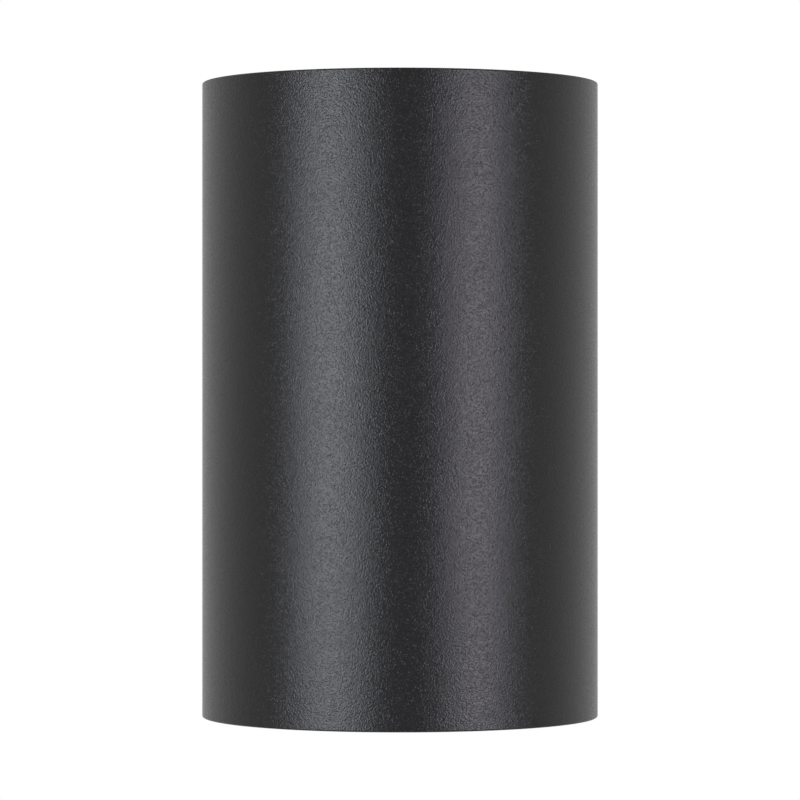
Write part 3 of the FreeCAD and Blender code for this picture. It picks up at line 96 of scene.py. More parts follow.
# How finishes vary: the fine grain's detail, the patches' width in grains, the tint in them, and how far the
# roughness goes below and above its value
METAL_LOOK = {"detail": 3.0, "patch": 14, "shade": 0.86, "glossier": 0.06, "duller": 0.08}
MOULDED_LOOK = {"detail": 2.0, "patch": 30, "shade": 0.93, "glossier": 0.04, "duller": 0.04}
ZINC_TINT = (0.56, 0.58, 0.61)
GROUND_GREEN = (0.03, 0.26, 0.08)


def number(name, description, default, **settings):
    return FloatProperty(name=name, description=description, default=default, **settings)


def length(name, description, default):
    return number(name, description, default, unit="LENGTH", precision=5)


def share(name, description, default):
    return number(name, description, default, min=0, max=1, subtype="FACTOR")


def colour(name, description, default):
    return FloatVectorProperty(
        name=name, description=description, default=default, size=3, min=0, max=1, subtype="COLOR",
    )


# Sizes and colours that a user would change

class SconceCoat(PropertyGroup):
    tint: colour("Tint", "Colour of the powder coat", (0.0010, 0.0010, 0.0013))
    # The speck colour is a painted glint: it paints the grain's high spots lighter, as if lit
    speck: colour("Speck", "Colour of the coat's high spots", (0.0050, 0.0049, 0.0060))
    roughness: share("Roughness", "Roughness of the powder coat", 0.27)
    roof_roughness: share("Roof roughness", "Roughness of the flat roof, where rain and dust settle", 0.55)
    index: number("Index", "Refractive index of the coat", 1.5, min=1, max=2)
    grain: length("Grain", "Width of one grain of the texture", 0.0004)
    relief: length("Relief", "Height of the texture", 0.00012)
    hardware: colour("Hardware", "Colour of black plated nuts and washers", (0.012, 0.012, 0.013))


class SconceThreads(PropertyGroup):
    fine_pitch: length("Fine pitch", "Thread pitch of the M4 screws", 0.0007)
    coarse_pitch: length("Coarse pitch", "Thread pitch of the M5 screws and the studs", 0.0008)
    depth: share("Depth", "Thread depth as a share of the pitch", 0.50)
    recess_width: length("Recess width", "Width of a cross recess across its arms", 0.0010)
    recess_depth: length("Recess depth", "Depth of a cross recess", 0.0015)
    segments: IntProperty(name="Segments", description="Facets round a screw", default=32, min=12)


class SconceLamp(PropertyGroup):
    cap_pitch: length("Cap pitch", "Pitch of the lamp's cap thread", 0.00363)
    cap_wave: length("Cap wave", "Half the height of the cap's rolled thread", 0.00035)
    shell_gap: length("Shell gap", "Play between the cap and the lamp holder's shell", 0.0003)
    sheet: length("Sheet", "Thickness of rolled sheet brass", 0.0004)
    dome: length("Dome", "Height of each optic's domed front", 0.0011)
    ring_relief: length("Ring relief", "Height of the rings on each optic's front", 0.00016)
    rings: IntProperty(name="Rings", description="Rings on each optic's front", default=5, min=1)
    glow: share("Glow", "How strongly the light sources shine", 0.0)


class SconceSeals(PropertyGroup):
    foam_bulge: length("Foam bulge", "How far the pressed foam ring swells at its sides", 0.0003)
    foam_ripple: length("Foam ripple", "Unevenness of the foam's cut sides", 0.00008)
    pore: length("Pore", "Width of the foam's pores", 0.0007)


class SconceConnectors(PropertyGroup):
    ribs: IntProperty(name="Ribs", description="Grip ribs round a wire connector", default=16, min=6)
    rib_height: length("Rib height", "How far each grip rib stands out", 0.00035)
    wing: length("Wing", "How far each wing stands out", 0.0030)
    tint: colour("Tint", "Colour of the wire connectors", (0.80, 0.23, 0.03))


class SconceStudio(PropertyGroup):
    distance: length("Camera distance", "From the cylinder's axis to the camera", 1.27)
    lens: number("Lens", "Focal length of the camera", 177.75, unit="CAMERA")
    light_distance: length("Light distance", "From the cylinder's axis to each soft light", 1.5)
    left_angle: number("Left angle", "Left light, round from the camera", math.radians(-40),
                       subtype="ANGLE")
    right_angle: number("Right angle", "Right light, round from the camera", math.radians(44),
                        subtype="ANGLE")
    left_width: length("Left width", "Width of the left soft light", 0.80)
    right_width: length("Right width", "Width of the right soft light", 0.62)
    light_height: length("Light height", "Height of the soft lights", 0.84)
    left_power: number("Left power", "Power of the left light", 12.65, unit="POWER")
    right_power: number("Right power", "Power of the right light", 8.95, unit="POWER")
    left_tint: colour("Left tint", "Colour of the left light", (0.90, 0.92, 1.0))
    right_tint: colour("Right tint", "Colour of the right light", (0.935, 0.89, 1.0))
    camera_side: share("Camera side", "Brightness of the studio on the camera's side", 0.38)
    surround: share("Surround", "Brightness of the studio's far side", 0.70)
    matt_front: share("Matt front", "Brightness of the camera's side on a matt surface", 0.40)
    matt_back: share("Matt back", "Brightness of the far side on a matt surface", 0.95)
    backdrop_distance: length("Backdrop distance", "From the wall plane back to the white backdrop", 4.0)
    backdrop_radius: length("Backdrop radius", "Radius of the backdrop's white", 0.82)
    backdrop_fade: length("Backdrop fade", "Width over which the backdrop fades out", 0.33)
    floor_drop: length("Floor drop", "From the cylinder's middle down to the floor", 1.8)
    floor_radius: length("Floor radius", "Radius of the floor", 1.3)
    floor_fade: length("Floor fade", "Width over which the floor fades out", 2.0)
    floor_tint: colour("Floor tint", "Colour of the floor", (0.80, 0.80, 0.80))


# Mesh work

def softened(points, radius, steps=3):
    """Rounds the inner corners of a chain of (radius, height) points."""
    most_of_edge, nearly_straight = 0.45, 0.05
    spots = [Vector(point) for point in points]
    chain = [spots[0]]
    for before, here, after in zip(spots, spots[1:], spots[2:]):
        back, ahead = before - here, after - here
        if min(back.length, ahead.length) < NO_LENGTH or math.pi - back.angle(ahead) < nearly_straight:
            chain.append(here)
            continue
        reach = min(radius, back.length * most_of_edge, ahead.length * most_of_edge)
        start = here + back.normalized() * reach
        end = here + ahead.normalized() * reach
        for i in range(steps + 1):
            way = i / steps
            chain.append(start.lerp(here, way).lerp(here.lerp(end, way), way))
    chain.append(spots[-1])
    return [tuple(point) for point in chain]


def spun(points, steps, closed=False):
    """Turns a chain of (radius, height) points about the Z axis into a closed shell."""
    bm = bmesh.new()
    chain = [bm.verts.new((radius, 0, height)) for radius, height in points]
    pairs = list(zip(chain, chain[1:])) + ([(chain[-1], chain[0])] if closed else [])
    edges = [bm.edges.new(pair) for pair in pairs]
    bmesh.ops.spin(bm, geom=chain + edges, cent=(0, 0, 0), axis=(0, 0, 1), dvec=(0, 0, 0),
                   angle=math.tau, steps=steps, use_merge=True, use_duplicate=False)
    return tidied(bm)


def tidied(bm):
    """Merges doubles, then turns all faces outwards."""
    bmesh.ops.remove_doubles(bm, verts=bm.verts, dist=SAME_POINT)
    bmesh.ops.dissolve_degenerate(bm, edges=bm.edges, dist=NO_LENGTH)
    bmesh.ops.recalc_face_normals(bm, faces=bm.faces)
    return bm


def nut_blank(corner, height, upper_flat=0.96):
    """A hexagonal prism on z = 0, with a corner on the x axis and its corners turned off at both ends."""
    prism = bmesh.new()
    bmesh.ops.create_cone(prism, cap_ends=True, segments=6, radius1=corner, radius2=corner, depth=height)
    turn = Matrix.Rotation(math.radians(30), 3, "Z")
    bmesh.ops.rotate(prism, verts=prism.verts, cent=(0, 0, 0), matrix=turn)
    bmesh.ops.translate(prism, verts=prism.verts, vec=(0, 0, height / 2))
    flat = corner * FLAT_SHARE
    chamfer = (corner - flat) * 0.69
    outside = corner * 1.01
    limits = spun([(0, 0), (flat * 0.96, 0), (outside, chamfer), (outside, height - chamfer),
                   (flat * upper_flat, height), (0, height)], NUT_FACETS)
    return combined(prism, [limits], "INTERSECT")


def moved(bm, *matrices):
    """Applies matrices in turn, the first one first."""
    for matrix in matrices:
        bmesh.ops.transform(bm, matrix=matrix, verts=bm.verts)
    return bm


def copied(bm, *matrices):
    return moved(bm.copy(), *matrices)


def merged(parts):
    """Several loose shells in one mesh."""
    whole = bmesh.new()
    for part in parts:
        mesh = bpy.data.meshes.new("Part")
        part.to_mesh(mesh)
        part.free()
        whole.from_mesh(mesh)
        bpy.data.meshes.remove(mesh)
    return whole


def wall_pair(blank, out, offset):
    """Two copies that stand out of the wall, one above the arm and one below it."""
    pair = [copied(blank, WALL, Matrix.Translation((0, out, offset * side))) for side in (-1, 1)]
    blank.free()
    return merged(pair)


def new_object(name, bm):
    mesh = bpy.data.meshes.new(name)
    bm.to_mesh(mesh)
    bm.free()
    item = bpy.data.objects.new(name, mesh)
    bpy.context.scene.collection.objects.link(item)
    return item


def combined(bm, tools, operation):
    """The shell after a Boolean with each tool in turn."""
    base = new_object("Blank", bm)
    items = [base]
    for tool in tools:
        items.append(new_object("Tool", tool))
        modifier = base.modifiers.new("Boolean", "BOOLEAN")
        modifier.operation = operation
        modifier.solver = "EXACT"
        modifier.object = items[-1]
    graph = bpy.context.evaluated_depsgraph_get()
    mesh = bpy.data.meshes.new_from_object(base.evaluated_get(graph))
    result = bmesh.new()
    result.from_mesh(mesh)
    bpy.data.meshes.remove(mesh)
    for item in items:
        shape = item.data
        bpy.data.objects.remove(item)
        bpy.data.meshes.remove(shape)
    return tidied(result)


def turns_at(vert, pitch):
    """How far along a right-hand helix about the Z axis a point lies, in turns."""
    return vert.co.z / pitch - math.atan2(vert.co.y, vert.co.x) / math.tau


def push(vert, amount):
    """Moves a point straight out from the Z axis."""
    flat = Vector((vert.co.x, vert.co.y, 0))
    if flat.length > SAME_POINT:
        vert.co += flat.normalized() * amount


def ease(value, start, end):
    """Zero before start, one after end and a smooth rise between."""
    way = max(0.0, min(1.0, (value - start) / (end - start)))
    return way * way * (3 - 2 * way)


def rows(start, end, step):
    """Heights from start to end, about one step apart."""
    count = max(1, round(abs(end - start) / step))
    return [start + (end - start) * i / count for i in range(count + 1)]


def cut_thread(bm, radius, pitch, low, high):
    """Sinks a thread into the shank between two heights, with a run-out at each end."""
    depth = pitch * bpy.context.scene.sconce_threads.depth
    for vert in bm.verts:
        on_shank = math.hypot(vert.co.x, vert.co.y) > radius * 0.9
        if on_shank and low < vert.co.z < high:
            from_root = abs(turns_at(vert, pitch) % 1 - 0.5)
            groove = min(1.0, max(0.0, ROOT_WIDTH - from_root * FLANK_SLOPE))
            run_out = ease(vert.co.z, low, low + pitch) * (1 - ease(vert.co.z, high - pitch, high))
            push(vert, -depth * groove * run_out)


def roll_thread(bm, start, full, fade, end):
    """Waves a thin wall into the cap's thread. It grows from start to full and goes from fade to end."""
    lamp = bpy.context.scene.sconce_lamp
    for vert in bm.verts:
        wave = lamp.cap_wave * math.cos(math.tau * turns_at(vert, lamp.cap_pitch))
        push(vert, wave * (ease(vert.co.z, start, full) * (1 - ease(vert.co.z, fade, end))))


def cap_middle():
    """Mean radius of the lamp cap's thread."""
    low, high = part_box("lamp_cap")
    return (high.x - low.x) / 2 - bpy.context.scene.sconce_lamp.cap_wave


def local_points(node, place):
    """A CAD node's points, as they would lie before a matrix placed them."""
    back = place.inverted()
    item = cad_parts[node]
    return [back @ item.matrix_world @ vert.co for vert in item.data.vertices]


def measured(points, direction):
    """How far the points reach along a direction, from low to high."""
    reach = [point.dot(direction) for point in points]
    return min(reach), max(reach)


def disc(name, radius, place, material):
    """A flat round piece of the stage."""
    bm = bmesh.new()
    bmesh.ops.create_circle(bm, cap_ends=True, segments=96, radius=radius)
    item = new_object(name, moved(bm, place))
    item.data.materials.append(material)


def finish_piece(name, bm, material, body, replaces, sharp=35):
    """Gives a shape smooth faces, crisp edges, its finish and body, and hides the CAD nodes it stands for.
    """
    piece = new_object(name, bm)
    piece.data.shade_smooth()
    piece.data.set_sharp_from_angle(angle=math.radians(sharp))
    piece.data.materials.append(material)
    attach(piece, body)
    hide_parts(*replaces)


def dress(material, *nodes):
    """Gives CAD nodes their finish."""
    for name in nodes:
        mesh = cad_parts[name].data
        mesh.materials.clear()
        mesh.materials.append(material)


# Shapes of the new pieces

def screw_shell(lamp):
    """A brass cup with a holed end, whose wall follows the lamp cap's thread."""
    low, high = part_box("socket_shell")
    start, end, rim, sheet = low.z, high.z, high.x, lamp.sheet
    inner = cap_middle() + lamp.shell_gap
    outer = inner + sheet
    hole = rim * 0.665
    wall_end = end - sheet * 3
    step = lamp.cap_pitch / CAP_ROWS
    inside = [(inner, z) for z in rows(start + sheet, wall_end, step)]
    outside = [(outer, z) for z in rows(wall_end, start + sheet, step)]
    closed_end = [(inner, end - sheet), (hole, end - sheet), (hole, end), (outer, end)]
    shell = spun([(rim - sheet, start)] + inside + closed_end + outside + [(rim, start)], CAP_FACETS,
                 closed=True)
    roll_thread(shell, start, start + sheet * 4, wall_end - lamp.cap_pitch, wall_end)
    return moved(shell, CYLINDER)


def lens_outline(lamp, front, back, plate, radius, foot):
    """Half a lens's section: a ringed dome, a curved cone behind it and a cup in the cone's foot."""
    dome_radius = radius * 0.259
    ring_rows, cone_rows, cone_curve = 6, 8, 1.25
    dome_rows = lamp.rings * ring_rows
    outline = [(0, front - lamp.dome)]
    for i in range(1, dome_rows + 1):
        way = i / dome_rows
        crest = lamp.ring_relief * (1 - math.cos(math.tau * way * lamp.rings)) / 2
        outline.append((dome_radius * way, front - lamp.dome * (1 - way * way) + crest * (1 - way)))
    outline.append((dome_radius, front + plate))
    for i in range(1, cone_rows + 1):
        way = i / cone_rows
        outline.append((foot + (dome_radius - foot) * (1 - way ** cone_curve),
                        front + plate + (back - front - plate) * way))
    cup, deep = foot * 0.72, back - front
    return outline + [(cup, back), (cup * 0.8, back - deep * 0.35), (0, back - deep * 0.42)]


def pan_head_screw(threads, head_radius, head_height, radius, total, pitch):
    """A pan head screw with a cross recess. It is seated on z = 0 with its head above."""
    tip = head_height - total
    thread_top = -pitch * 1.5
    head = softened(
        [(0, head_height), (head_radius * 0.72, head_height * 0.97), (head_radius, head_height * 0.42),
         (head_radius, 0), (radius * 1.12, 0), (radius, -radius * 0.12)], head_height * 0.22, 4)
    shank = [(radius, z) for z in rows(thread_top, tip + pitch * 0.9, pitch / SCREW_ROWS)]
    screw = spun(head + shank + [(radius * 0.72, tip), (0, tip)], threads.segments)
    cut_thread(screw, radius, pitch, tip + pitch * 0.2, thread_top)
    recess = cross_recess(threads, head_radius * 0.62, head_height)
    return combined(screw, recess, "DIFFERENCE")


def cross_recess(threads, reach, top):
    """A tapered cross, as a screwdriver's tip leaves it."""
    arms = []
    for turn in (0, 90):
        arm = bmesh.new()
        bmesh.ops.create_cube(arm, size=1)
        for vert in arm.verts:
            lower = vert.co.z < 0
            vert.co.x *= reach * (0.9 if lower else 2.0)
            vert.co.y *= threads.recess_width * (0.7 if lower else 1.0)
            vert.co.z = top - threads.recess_depth if lower else top + threads.recess_depth
        arms.append(moved(arm, Matrix.Rotation(math.radians(turn), 4, "Z")))
    return arms


def cap_nut(corner, height):
    """A hexagon with a dome on it and a blind hole from below."""
    dome_rows = 12
    hex_height = height * 0.53
    rise = height - hex_height
    dome, bore = corner * 0.80, corner * 0.388
    angles = [math.radians(90) * i / dome_rows for i in range(dome_rows)]
    crown = [(dome * math.cos(a), hex_height + rise * math.sin(a)) for a in angles]
    cap = spun([(0, hex_height / 2), (dome, hex_height / 2)] + crown + [(0, height)], NUT_FACETS)
    hole = spun([(0, -bore), (bore * 1.25, -bore), (bore * 1.25, bore * 0.12), (bore, bore * 0.35),
                 (bore, height * 0.70), (0, height * 0.78)], HOLE_FACETS)
    domed = combined(nut_blank(corner, hex_height, upper_flat=0.97), [cap], "UNION")
    return combined(domed, [hole], "DIFFERENCE")


def lock_nut(corner, height, bore):
    """A hexagonal nut whose hole is chamfered at both ends."""
    hole = spun([(0, -bore), (bore * 1.4, -bore), (bore * 1.2, 0), (bore, bore * 0.2),
                 (bore, height - bore * 0.2), (bore * 1.2, height), (bore * 1.4, height + bore),
                 (0, height + bore)], HOLE_FACETS)
    return combined(nut_blank(corner, height), [hole], "DIFFERENCE")


def foam_ring(seals):
    """A flat ring with rounded edges, whose pressed sides swell and ripple."""
    ring_facets = 220
    ripples_to_metre = (900, 250)
    low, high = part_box("canopy_gasket")
    thick = high.y - low.y
    bulge = seals.foam_bulge
    outer = (high.x - low.x) / 2 - bulge
    inner = min(math.hypot(x, y) for x, y, z in local_points("canopy_gasket", WALL)) + bulge
    edge = thick * 0.06
    levels = rows(edge, thick * 0.94, thick / 8)
    outside = [(outer + bulge * math.sin(math.pi * z / thick), z) for z in levels]
    inside = [(inner - bulge * math.sin(math.pi * z / thick), z) for z in reversed(levels)]
    face = rows(outer - edge, inner + edge, (outer - inner) / 6)
    chain = outside + [(r, thick) for r in face] + inside + [(r, 0) for r in reversed(face)]
    ring = spun(chain, ring_facets, closed=True)
    for vert in ring.verts:
        if thick * 0.1 < vert.co.z < thick * 0.9:
            fine, broad = (noise.noise(vert.co * count) for count in ripples_to_metre)
            push(vert, seals.foam_ripple * (fine + broad))
    return moved(ring, WALL)


def connector(grip, mouth, long):
    """A ribbed cap with its mouth on z = 0: a skirt, a narrower hole above it, and two wings."""
    tip, skirt, bore = mouth * 0.71, mouth * 0.55, mouth * 0.21
    skirt_depth, grip_depth = long * 0.23, long * 0.5
    hollow = [(0, grip_depth), (bore, grip_depth), (bore, skirt_depth * 1.2), (skirt, skirt_depth),
              (skirt, skirt * 0.1), (skirt * 1.15, 0), (mouth * 0.9, 0)]
    wall = [(mouth + (tip - mouth) * z / long, z) for z in rows(long * 0.03, long * 0.94, long / 36)]
    crown = [(tip * 0.93, long * 0.985), (tip * 0.78, long), (0, long)]
    cap = spun(hollow + wall + crown, grip.ribs * 6)
    for vert in cap.verts:
        if math.hypot(vert.co.x, vert.co.y) > tip * 0.9:
            around = math.atan2(vert.co.y, vert.co.x)
            rib = abs(math.cos(around * grip.ribs / 2)) ** 0.6
            rise = ease(vert.co.z, long * 0.2, long * 0.27)
            fall = ease(vert.co.z, long * 0.84, long * 0.93)
            push(vert, grip.rib_height * (rib - 1) * (rise * (1 - fall)))
    return combined(cap, [wing(grip, mouth, long, side) for side in (-1, 1)], "UNION")


def wing(grip, mouth, long, side):
    """A thin wing with rounded edges, which narrows towards the tip."""
    root, start, tall = mouth * 0.72, long * 0.14, long * 0.46
    half = grip.rib_height * 2.3
    blade = bmesh.new()
    bmesh.ops.create_cube(blade, size=1)
    bmesh.ops.scale(blade, verts=blade.verts, vec=(1, half * 2, tall))
    bmesh.ops.translate(blade, verts=blade.verts, vec=(0.5, 0, tall / 2))
    bmesh.ops.bevel(blade, geom=blade.edges, offset=grip.rib_height, offset_type="OFFSET", segments=2,
                    profile=0.5, affect="EDGES", material=-1)
    for vert in blade.verts:
        out = mouth + grip.wing * (1 - 0.6 * ease(vert.co.z, long * 0.12, tall))
        vert.co.x = side * (root + (out - root) * vert.co.x)
        vert.co.z += start
    return tidied(blade)


# Material work

def fill(tree, socket, value):
    """Links another node's output to a socket, or sets the socket's value."""
    if isinstance(value, bpy.types.NodeSocket):
        tree.links.new(value, socket)
    else:
        socket.default_value = value


def feed(tree, node, **values):
    """Fills a node's sockets. Their names are written with _ for a space."""
    for name, value in values.items():
        fill(tree, node.inputs[name.replace("_", " ")], value)


def add_node(tree, kind, settings=None, **values):
    made = tree.nodes.new(f"ShaderNode{kind}")
    for key, value in (settings or {}).items():
        setattr(made, key, value)
    feed(tree, made, **values)
    return made


def new_material(name):
    material = bpy.data.materials.new(name)
    material.use_nodes = True
    return material, material.node_tree


def new_finish(name, tint, roughness, **values):
    """A material with its tree, and its shader set."""
    material, tree = new_material(name)
    shader = tree.nodes["Principled BSDF"]
    feed(tree, shader, Base_Color=(*tint, 1), Roughness=roughness, **values)
    return material, tree, shader


def calculated(tree, operation, *values):
    """A Math node's result."""
    made = add_node(tree, "Math", {"operation": operation})
    for socket, value in zip(made.inputs, values):
        fill(tree, socket, value)
    return made.outputs["Value"]


def object_points(tree, stretch=None):
    """Object coordinates, stretched where a pattern has a direction."""
    points = add_node(tree, "TexCoord").outputs["Object"]
    if stretch is None:
        return points
    return add_node(tree, "Mapping", Vector=points, Scale=stretch).outputs["Vector"]


def grain(tree, points, width, detail=2.0):
    """Noise whose features are about width across."""
    return add_node(tree, "TexNoise", Vector=points, Scale=1 / width, Detail=detail).outputs["Fac"]


def spread(tree, value, low, high, from_low=0.3, from_high=0.7):
    """Maps a value onto a range. Noise lies mostly between 0.3 and 0.7."""
    return add_node(tree, "MapRange", {"interpolation_type": "SMOOTHSTEP"}, Value=value,
                    From_Min=from_low, From_Max=from_high, To_Min=low, To_Max=high).outputs["Result"]


def blend_tints(tree, factor, first, second):
    return add_node(tree, "Mix", {"data_type": "RGBA"}, Factor=factor,
                    A=(*first, 1), B=(*second, 1)).outputs["Result"]


def darker(tint, amount):
    return tuple(part * amount for part in tint)


def bump(tree, height, distance):
    return add_node(tree, "Bump", Strength=1.0, Distance=distance, Height=height).outputs["Normal"]


def powder_coat():
    """Fine textured black powder coat: tiny rounded grains under a satin skin, duller on the flat roof. The
    grains' high spots are painted lighter with the speck colour, a painted glint.
    """
    coat = bpy.context.scene.sconce_coat
    material, tree, shader = new_finish("BlackPowderCoat", coat.tint, coat.roughness, IOR=coat.index)
    points = object_points(tree)
    turned = add_node(tree, "Mapping", Vector=points, Rotation=GRAIN_TURN).outputs["Vector"]
    fine = grain(tree, turned, coat.grain, detail=0.0)
    skin = spread(tree, fine, coat.roughness - COAT_SHEEN, coat.roughness + COAT_SHEEN)
    height = add_node(tree, "SeparateXYZ", Vector=points).outputs["Z"]
    on_roof = spread(tree, height, 0, 1, *(HOUSING_BOX[1].z - depth for depth in ROOF_EDGE))
    duller = coat.roof_roughness - coat.roughness
    # Painted glint: the fine grain that raises the bump also mixes the lighter speck colour into its high
    # spots
    feed(tree, shader,
         Base_Color=blend_tints(tree, spread(tree, fine, 0, 1), coat.tint, coat.speck),
         Roughness=calculated(tree, "MULTIPLY_ADD", on_roof, duller, skin),
         Normal=bump(tree, fine, coat.relief))
    return material


def textured(name, tint, roughness, width, relief, look, streak=None, **values):
    """A finish with a fine grain, and with broad patches where its tint is darker."""
    material, tree, shader = new_finish(name, tint, roughness, **values)
    fine = grain(tree, object_points(tree, streak), width, look["detail"])
    broad = grain(tree, object_points(tree), width * look["patch"])
    feed(tree, shader,
         Base_Color=blend_tints(tree, spread(tree, broad, 0, 1), darker(tint, look["shade"]), tint),
         Roughness=spread(tree, fine, roughness - look["glossier"], roughness + look["duller"]),
         Normal=bump(tree, fine, relief))
    return material


def satin_metal(name, tint, roughness, streak=None, width=0.0009, relief=0.000004):
    """Plated metal with a faint drawn or tumbled surface."""
    return textured(name, tint, roughness, width, relief, METAL_LOOK, streak, Metallic=1.0)


def moulded(name, tint, roughness, width=0.0005, relief=0.000006, **values):
    """Moulded plastic, rubber or paint with a fine even texture."""
    return textured(name, tint, roughness, width, relief, MOULDED_LOOK, **values)


def foam():
    """Closed-cell foam: small round pores, matt and dark, painted darker where the surface sinks, as painted
    shade.
    """
    pore = bpy.context.scene.sconce_seals.pore
    # hollow is painted shade: a darker colour for where the bump sinks the surface
    skin, hollow = (0.055, 0.055, 0.058), (0.02, 0.02, 0.021)
    material, tree, shader = new_finish("BlackFoam", (0.035, 0.035, 0.037), 0.9)
    cells = add_node(tree, "TexVoronoi", Vector=object_points(tree), Scale=1 / pore).outputs["Distance"]
    # Painted shade: the colour turns to the darker hollow where the bump sinks the surface
    feed(tree, shader,
         Base_Color=blend_tints(tree, spread(tree, cells, 0, 1, 0.1, 0.5), skin, hollow),
         Normal=bump(tree, cells, -pore * 0.4))
    return material


def clear(name, tint, roughness, index, ripple, ripple_width=0.02):
    """Glass or acrylic with a hardly visible ripple."""
    material, tree, shader = new_finish(name, tint, roughness, IOR=index, Transmission_Weight=1.0)
    broad = grain(tree, object_points(tree), ripple_width, detail=1.0)
    feed(tree, shader, Normal=bump(tree, broad, ripple))
    return material


def phosphor():
    """Yellow phosphor over the light sources, slightly uneven."""
    orange, lemon, light = (0.80, 0.55, 0.08), (0.97, 0.80, 0.26), (1.0, 0.82, 0.55, 1)
    patch, speck, relief = 0.0008, 0.0002, 0.00001
    material, tree, shader = new_finish("YellowPhosphor", (0.93, 0.72, 0.18), 0.55, Emission_Color=light,
                                        Emission_Strength=bpy.context.scene.sconce_lamp.glow)
    points = object_points(tree)
    feed(tree, shader,
         Base_Color=blend_tints(tree, grain(tree, points, patch), orange, lemon),
         Normal=bump(tree, grain(tree, points, speck), relief))
    return material


def by_ray(tree, seen, matt):
    """One level for rays that show the surroundings, another for those that light a matt surface."""
    path = add_node(tree, "LightPath")
    shown = path.outputs["Is Camera Ray"]
    for other in ("Is Glossy Ray", "Is Transmission Ray"):
        shown = calculated(tree, "MAXIMUM", shown, path.outputs[other])
    return add_node(tree, "MapRange", Value=shown, To_Min=matt, To_Max=seen).outputs["Result"]


def faded(tree, surface, middle, radius, fade):
    """Shows the surface within a radius of a point, and lets it fade out beyond."""
    from_middle = add_node(tree, "VectorMath", {"operation": "DISTANCE"}, Vector=object_points(tree))
    from_middle.inputs[1].default_value = middle
    beyond = spread(tree, from_middle.outputs["Value"], 0, 1, radius, radius + fade)
    mix = add_node(tree, "MixShader", Fac=beyond)
    tree.links.new(surface, mix.inputs[1])
    tree.links.new(add_node(tree, "BsdfTransparent").outputs["BSDF"], mix.inputs[2])
    feed(tree, tree.nodes["Material Output"], Surface=mix.outputs["Shader"])


def backdrop_finish(studio, middle):
    """White backdrop: a strength of 1 wherever it is seen, also in metal and through glass."""
    material, tree = new_material("WhiteBackdrop")
    tree.nodes.remove(tree.nodes["Principled BSDF"])
    glow = add_node(tree, "Emission", Strength=by_ray(tree, 1.0, studio.matt_back))
    faded(tree, glow.outputs["Emission"], middle, studio.backdrop_radius, studio.backdrop_fade)
    return material


def floor_finish(studio, middle):
    """Pale floor, which keeps the sconce's shadow."""
    tint = studio.floor_tint
    material, tree, shader = new_finish("PaleFloor", tint, 0.7)
    patches = grain(tree, object_points(tree), 0.4, detail=1.0)
    feed(tree, shader, Base_Color=blend_tints(tree, patches, darker(tint, 0.99), tint))
    faded(tree, shader.outputs["BSDF"], middle, studio.floor_radius, studio.floor_fade)
    return material


# Operators, one for each piece or group of like pieces

class SCONCE_OT_castings(Operator):
    """Powder coats the cylinder, the arm, the canopy and the lens ring"""

    bl_idname = "sconce.castings"
    bl_label = "Coat Castings"

    def execute(self, context):
        dress(powder_coat(), "housing", "arm", "canopy", "lens_ring")
        return {"FINISHED"}


class SCONCE_OT_lens_cover(Operator):
    """Finishes the lens glass, its seal and the set screws that hold the ring"""

    bl_idname = "sconce.lens_cover"
    bl_label = "Finish Lens Cover"

    def execute(self, context):
        dress(clear("LensGlass", (0.97, 0.99, 0.98), 0.0, 1.5, 0.000004), "lens_glass")
        dress(moulded("GreySilicone", (0.55, 0.55, 0.53), 0.55, relief=0.000003), "lens_gasket")
        dress(satin_metal("BlackOxideSetScrews", (0.05, 0.05, 0.053), 0.35), "lens_set_screws")
        return {"FINISHED"}


class SCONCE_OT_baffle(Operator):
    """Gives the stepped baffle its matt black finish"""

    bl_idname = "sconce.baffle"
    bl_label = "Finish Baffle"

    def execute(self, context):
        dress(moulded("BaffleBlack", (0.012, 0.012, 0.012), 0.6, width=0.0004, relief=0.00001), "baffle")
        return {"FINISHED"}


class SCONCE_OT_lamp_holder(Operator):
    """Finishes the lamp holder and rolls the thread of its screw shell"""

    bl_idname = "sconce.lamp_holder"
    bl_label = "Make Lamp Holder"

    def execute(self, context):
        dress(moulded("GlazedPorcelain", (0.84, 0.82, 0.76), 0.12, width=0.004, relief=0.00001,
                      Coat_Weight=0.4), "socket_body")
        dress(satin_metal("ZincBracket", (0.52, 0.54, 0.57), 0.32, width=0.0012), "socket_bracket")
        dress(satin_metal("SpringBrass", (0.78, 0.58, 0.26), 0.28, streak=(1, 12, 12)), "socket_contact")
        brass = satin_metal("RolledBrassShell", (0.80, 0.60, 0.28), 0.25)
        finish_piece("ScrewShell", screw_shell(context.scene.sconce_lamp), brass, "fixture",
                     ["socket_shell"], sharp=50)
        return {"FINISHED"}


class SCONCE_OT_lamp(Operator):
    """Finishes the lamp's heat sink, bezel, board, light sources, driver and end contact"""

    bl_idname = "sconce.lamp"
    bl_label = "Finish Lamp"

    def execute(self, context):
        dress(moulded("WhitePaintedHeatSink", (0.80, 0.80, 0.79), 0.42, width=0.0007, relief=0.00001),
              "lamp_body")
        dress(moulded("WhiteBezel", (0.83, 0.83, 0.81), 0.35), "lamp_bezel")
        dress(moulded("WhiteSolderMask", (0.82, 0.82, 0.79), 0.40, width=0.0010, relief=0.000003),
              "lamp_board")
        dress(phosphor(), "lamp_chips")
        dress(moulded("DriverGreen", (0.03, 0.20, 0.08), 0.4), "lamp_driver")
        dress(moulded("BlackCapGlass", (0.012, 0.012, 0.015), 0.08, relief=0.000002, Coat_Weight=1.0),
              "lamp_insulator")
        dress(satin_metal("SolderedEyelet", (0.72, 0.70, 0.66), 0.30), "lamp_eyelet")
        return {"FINISHED"}


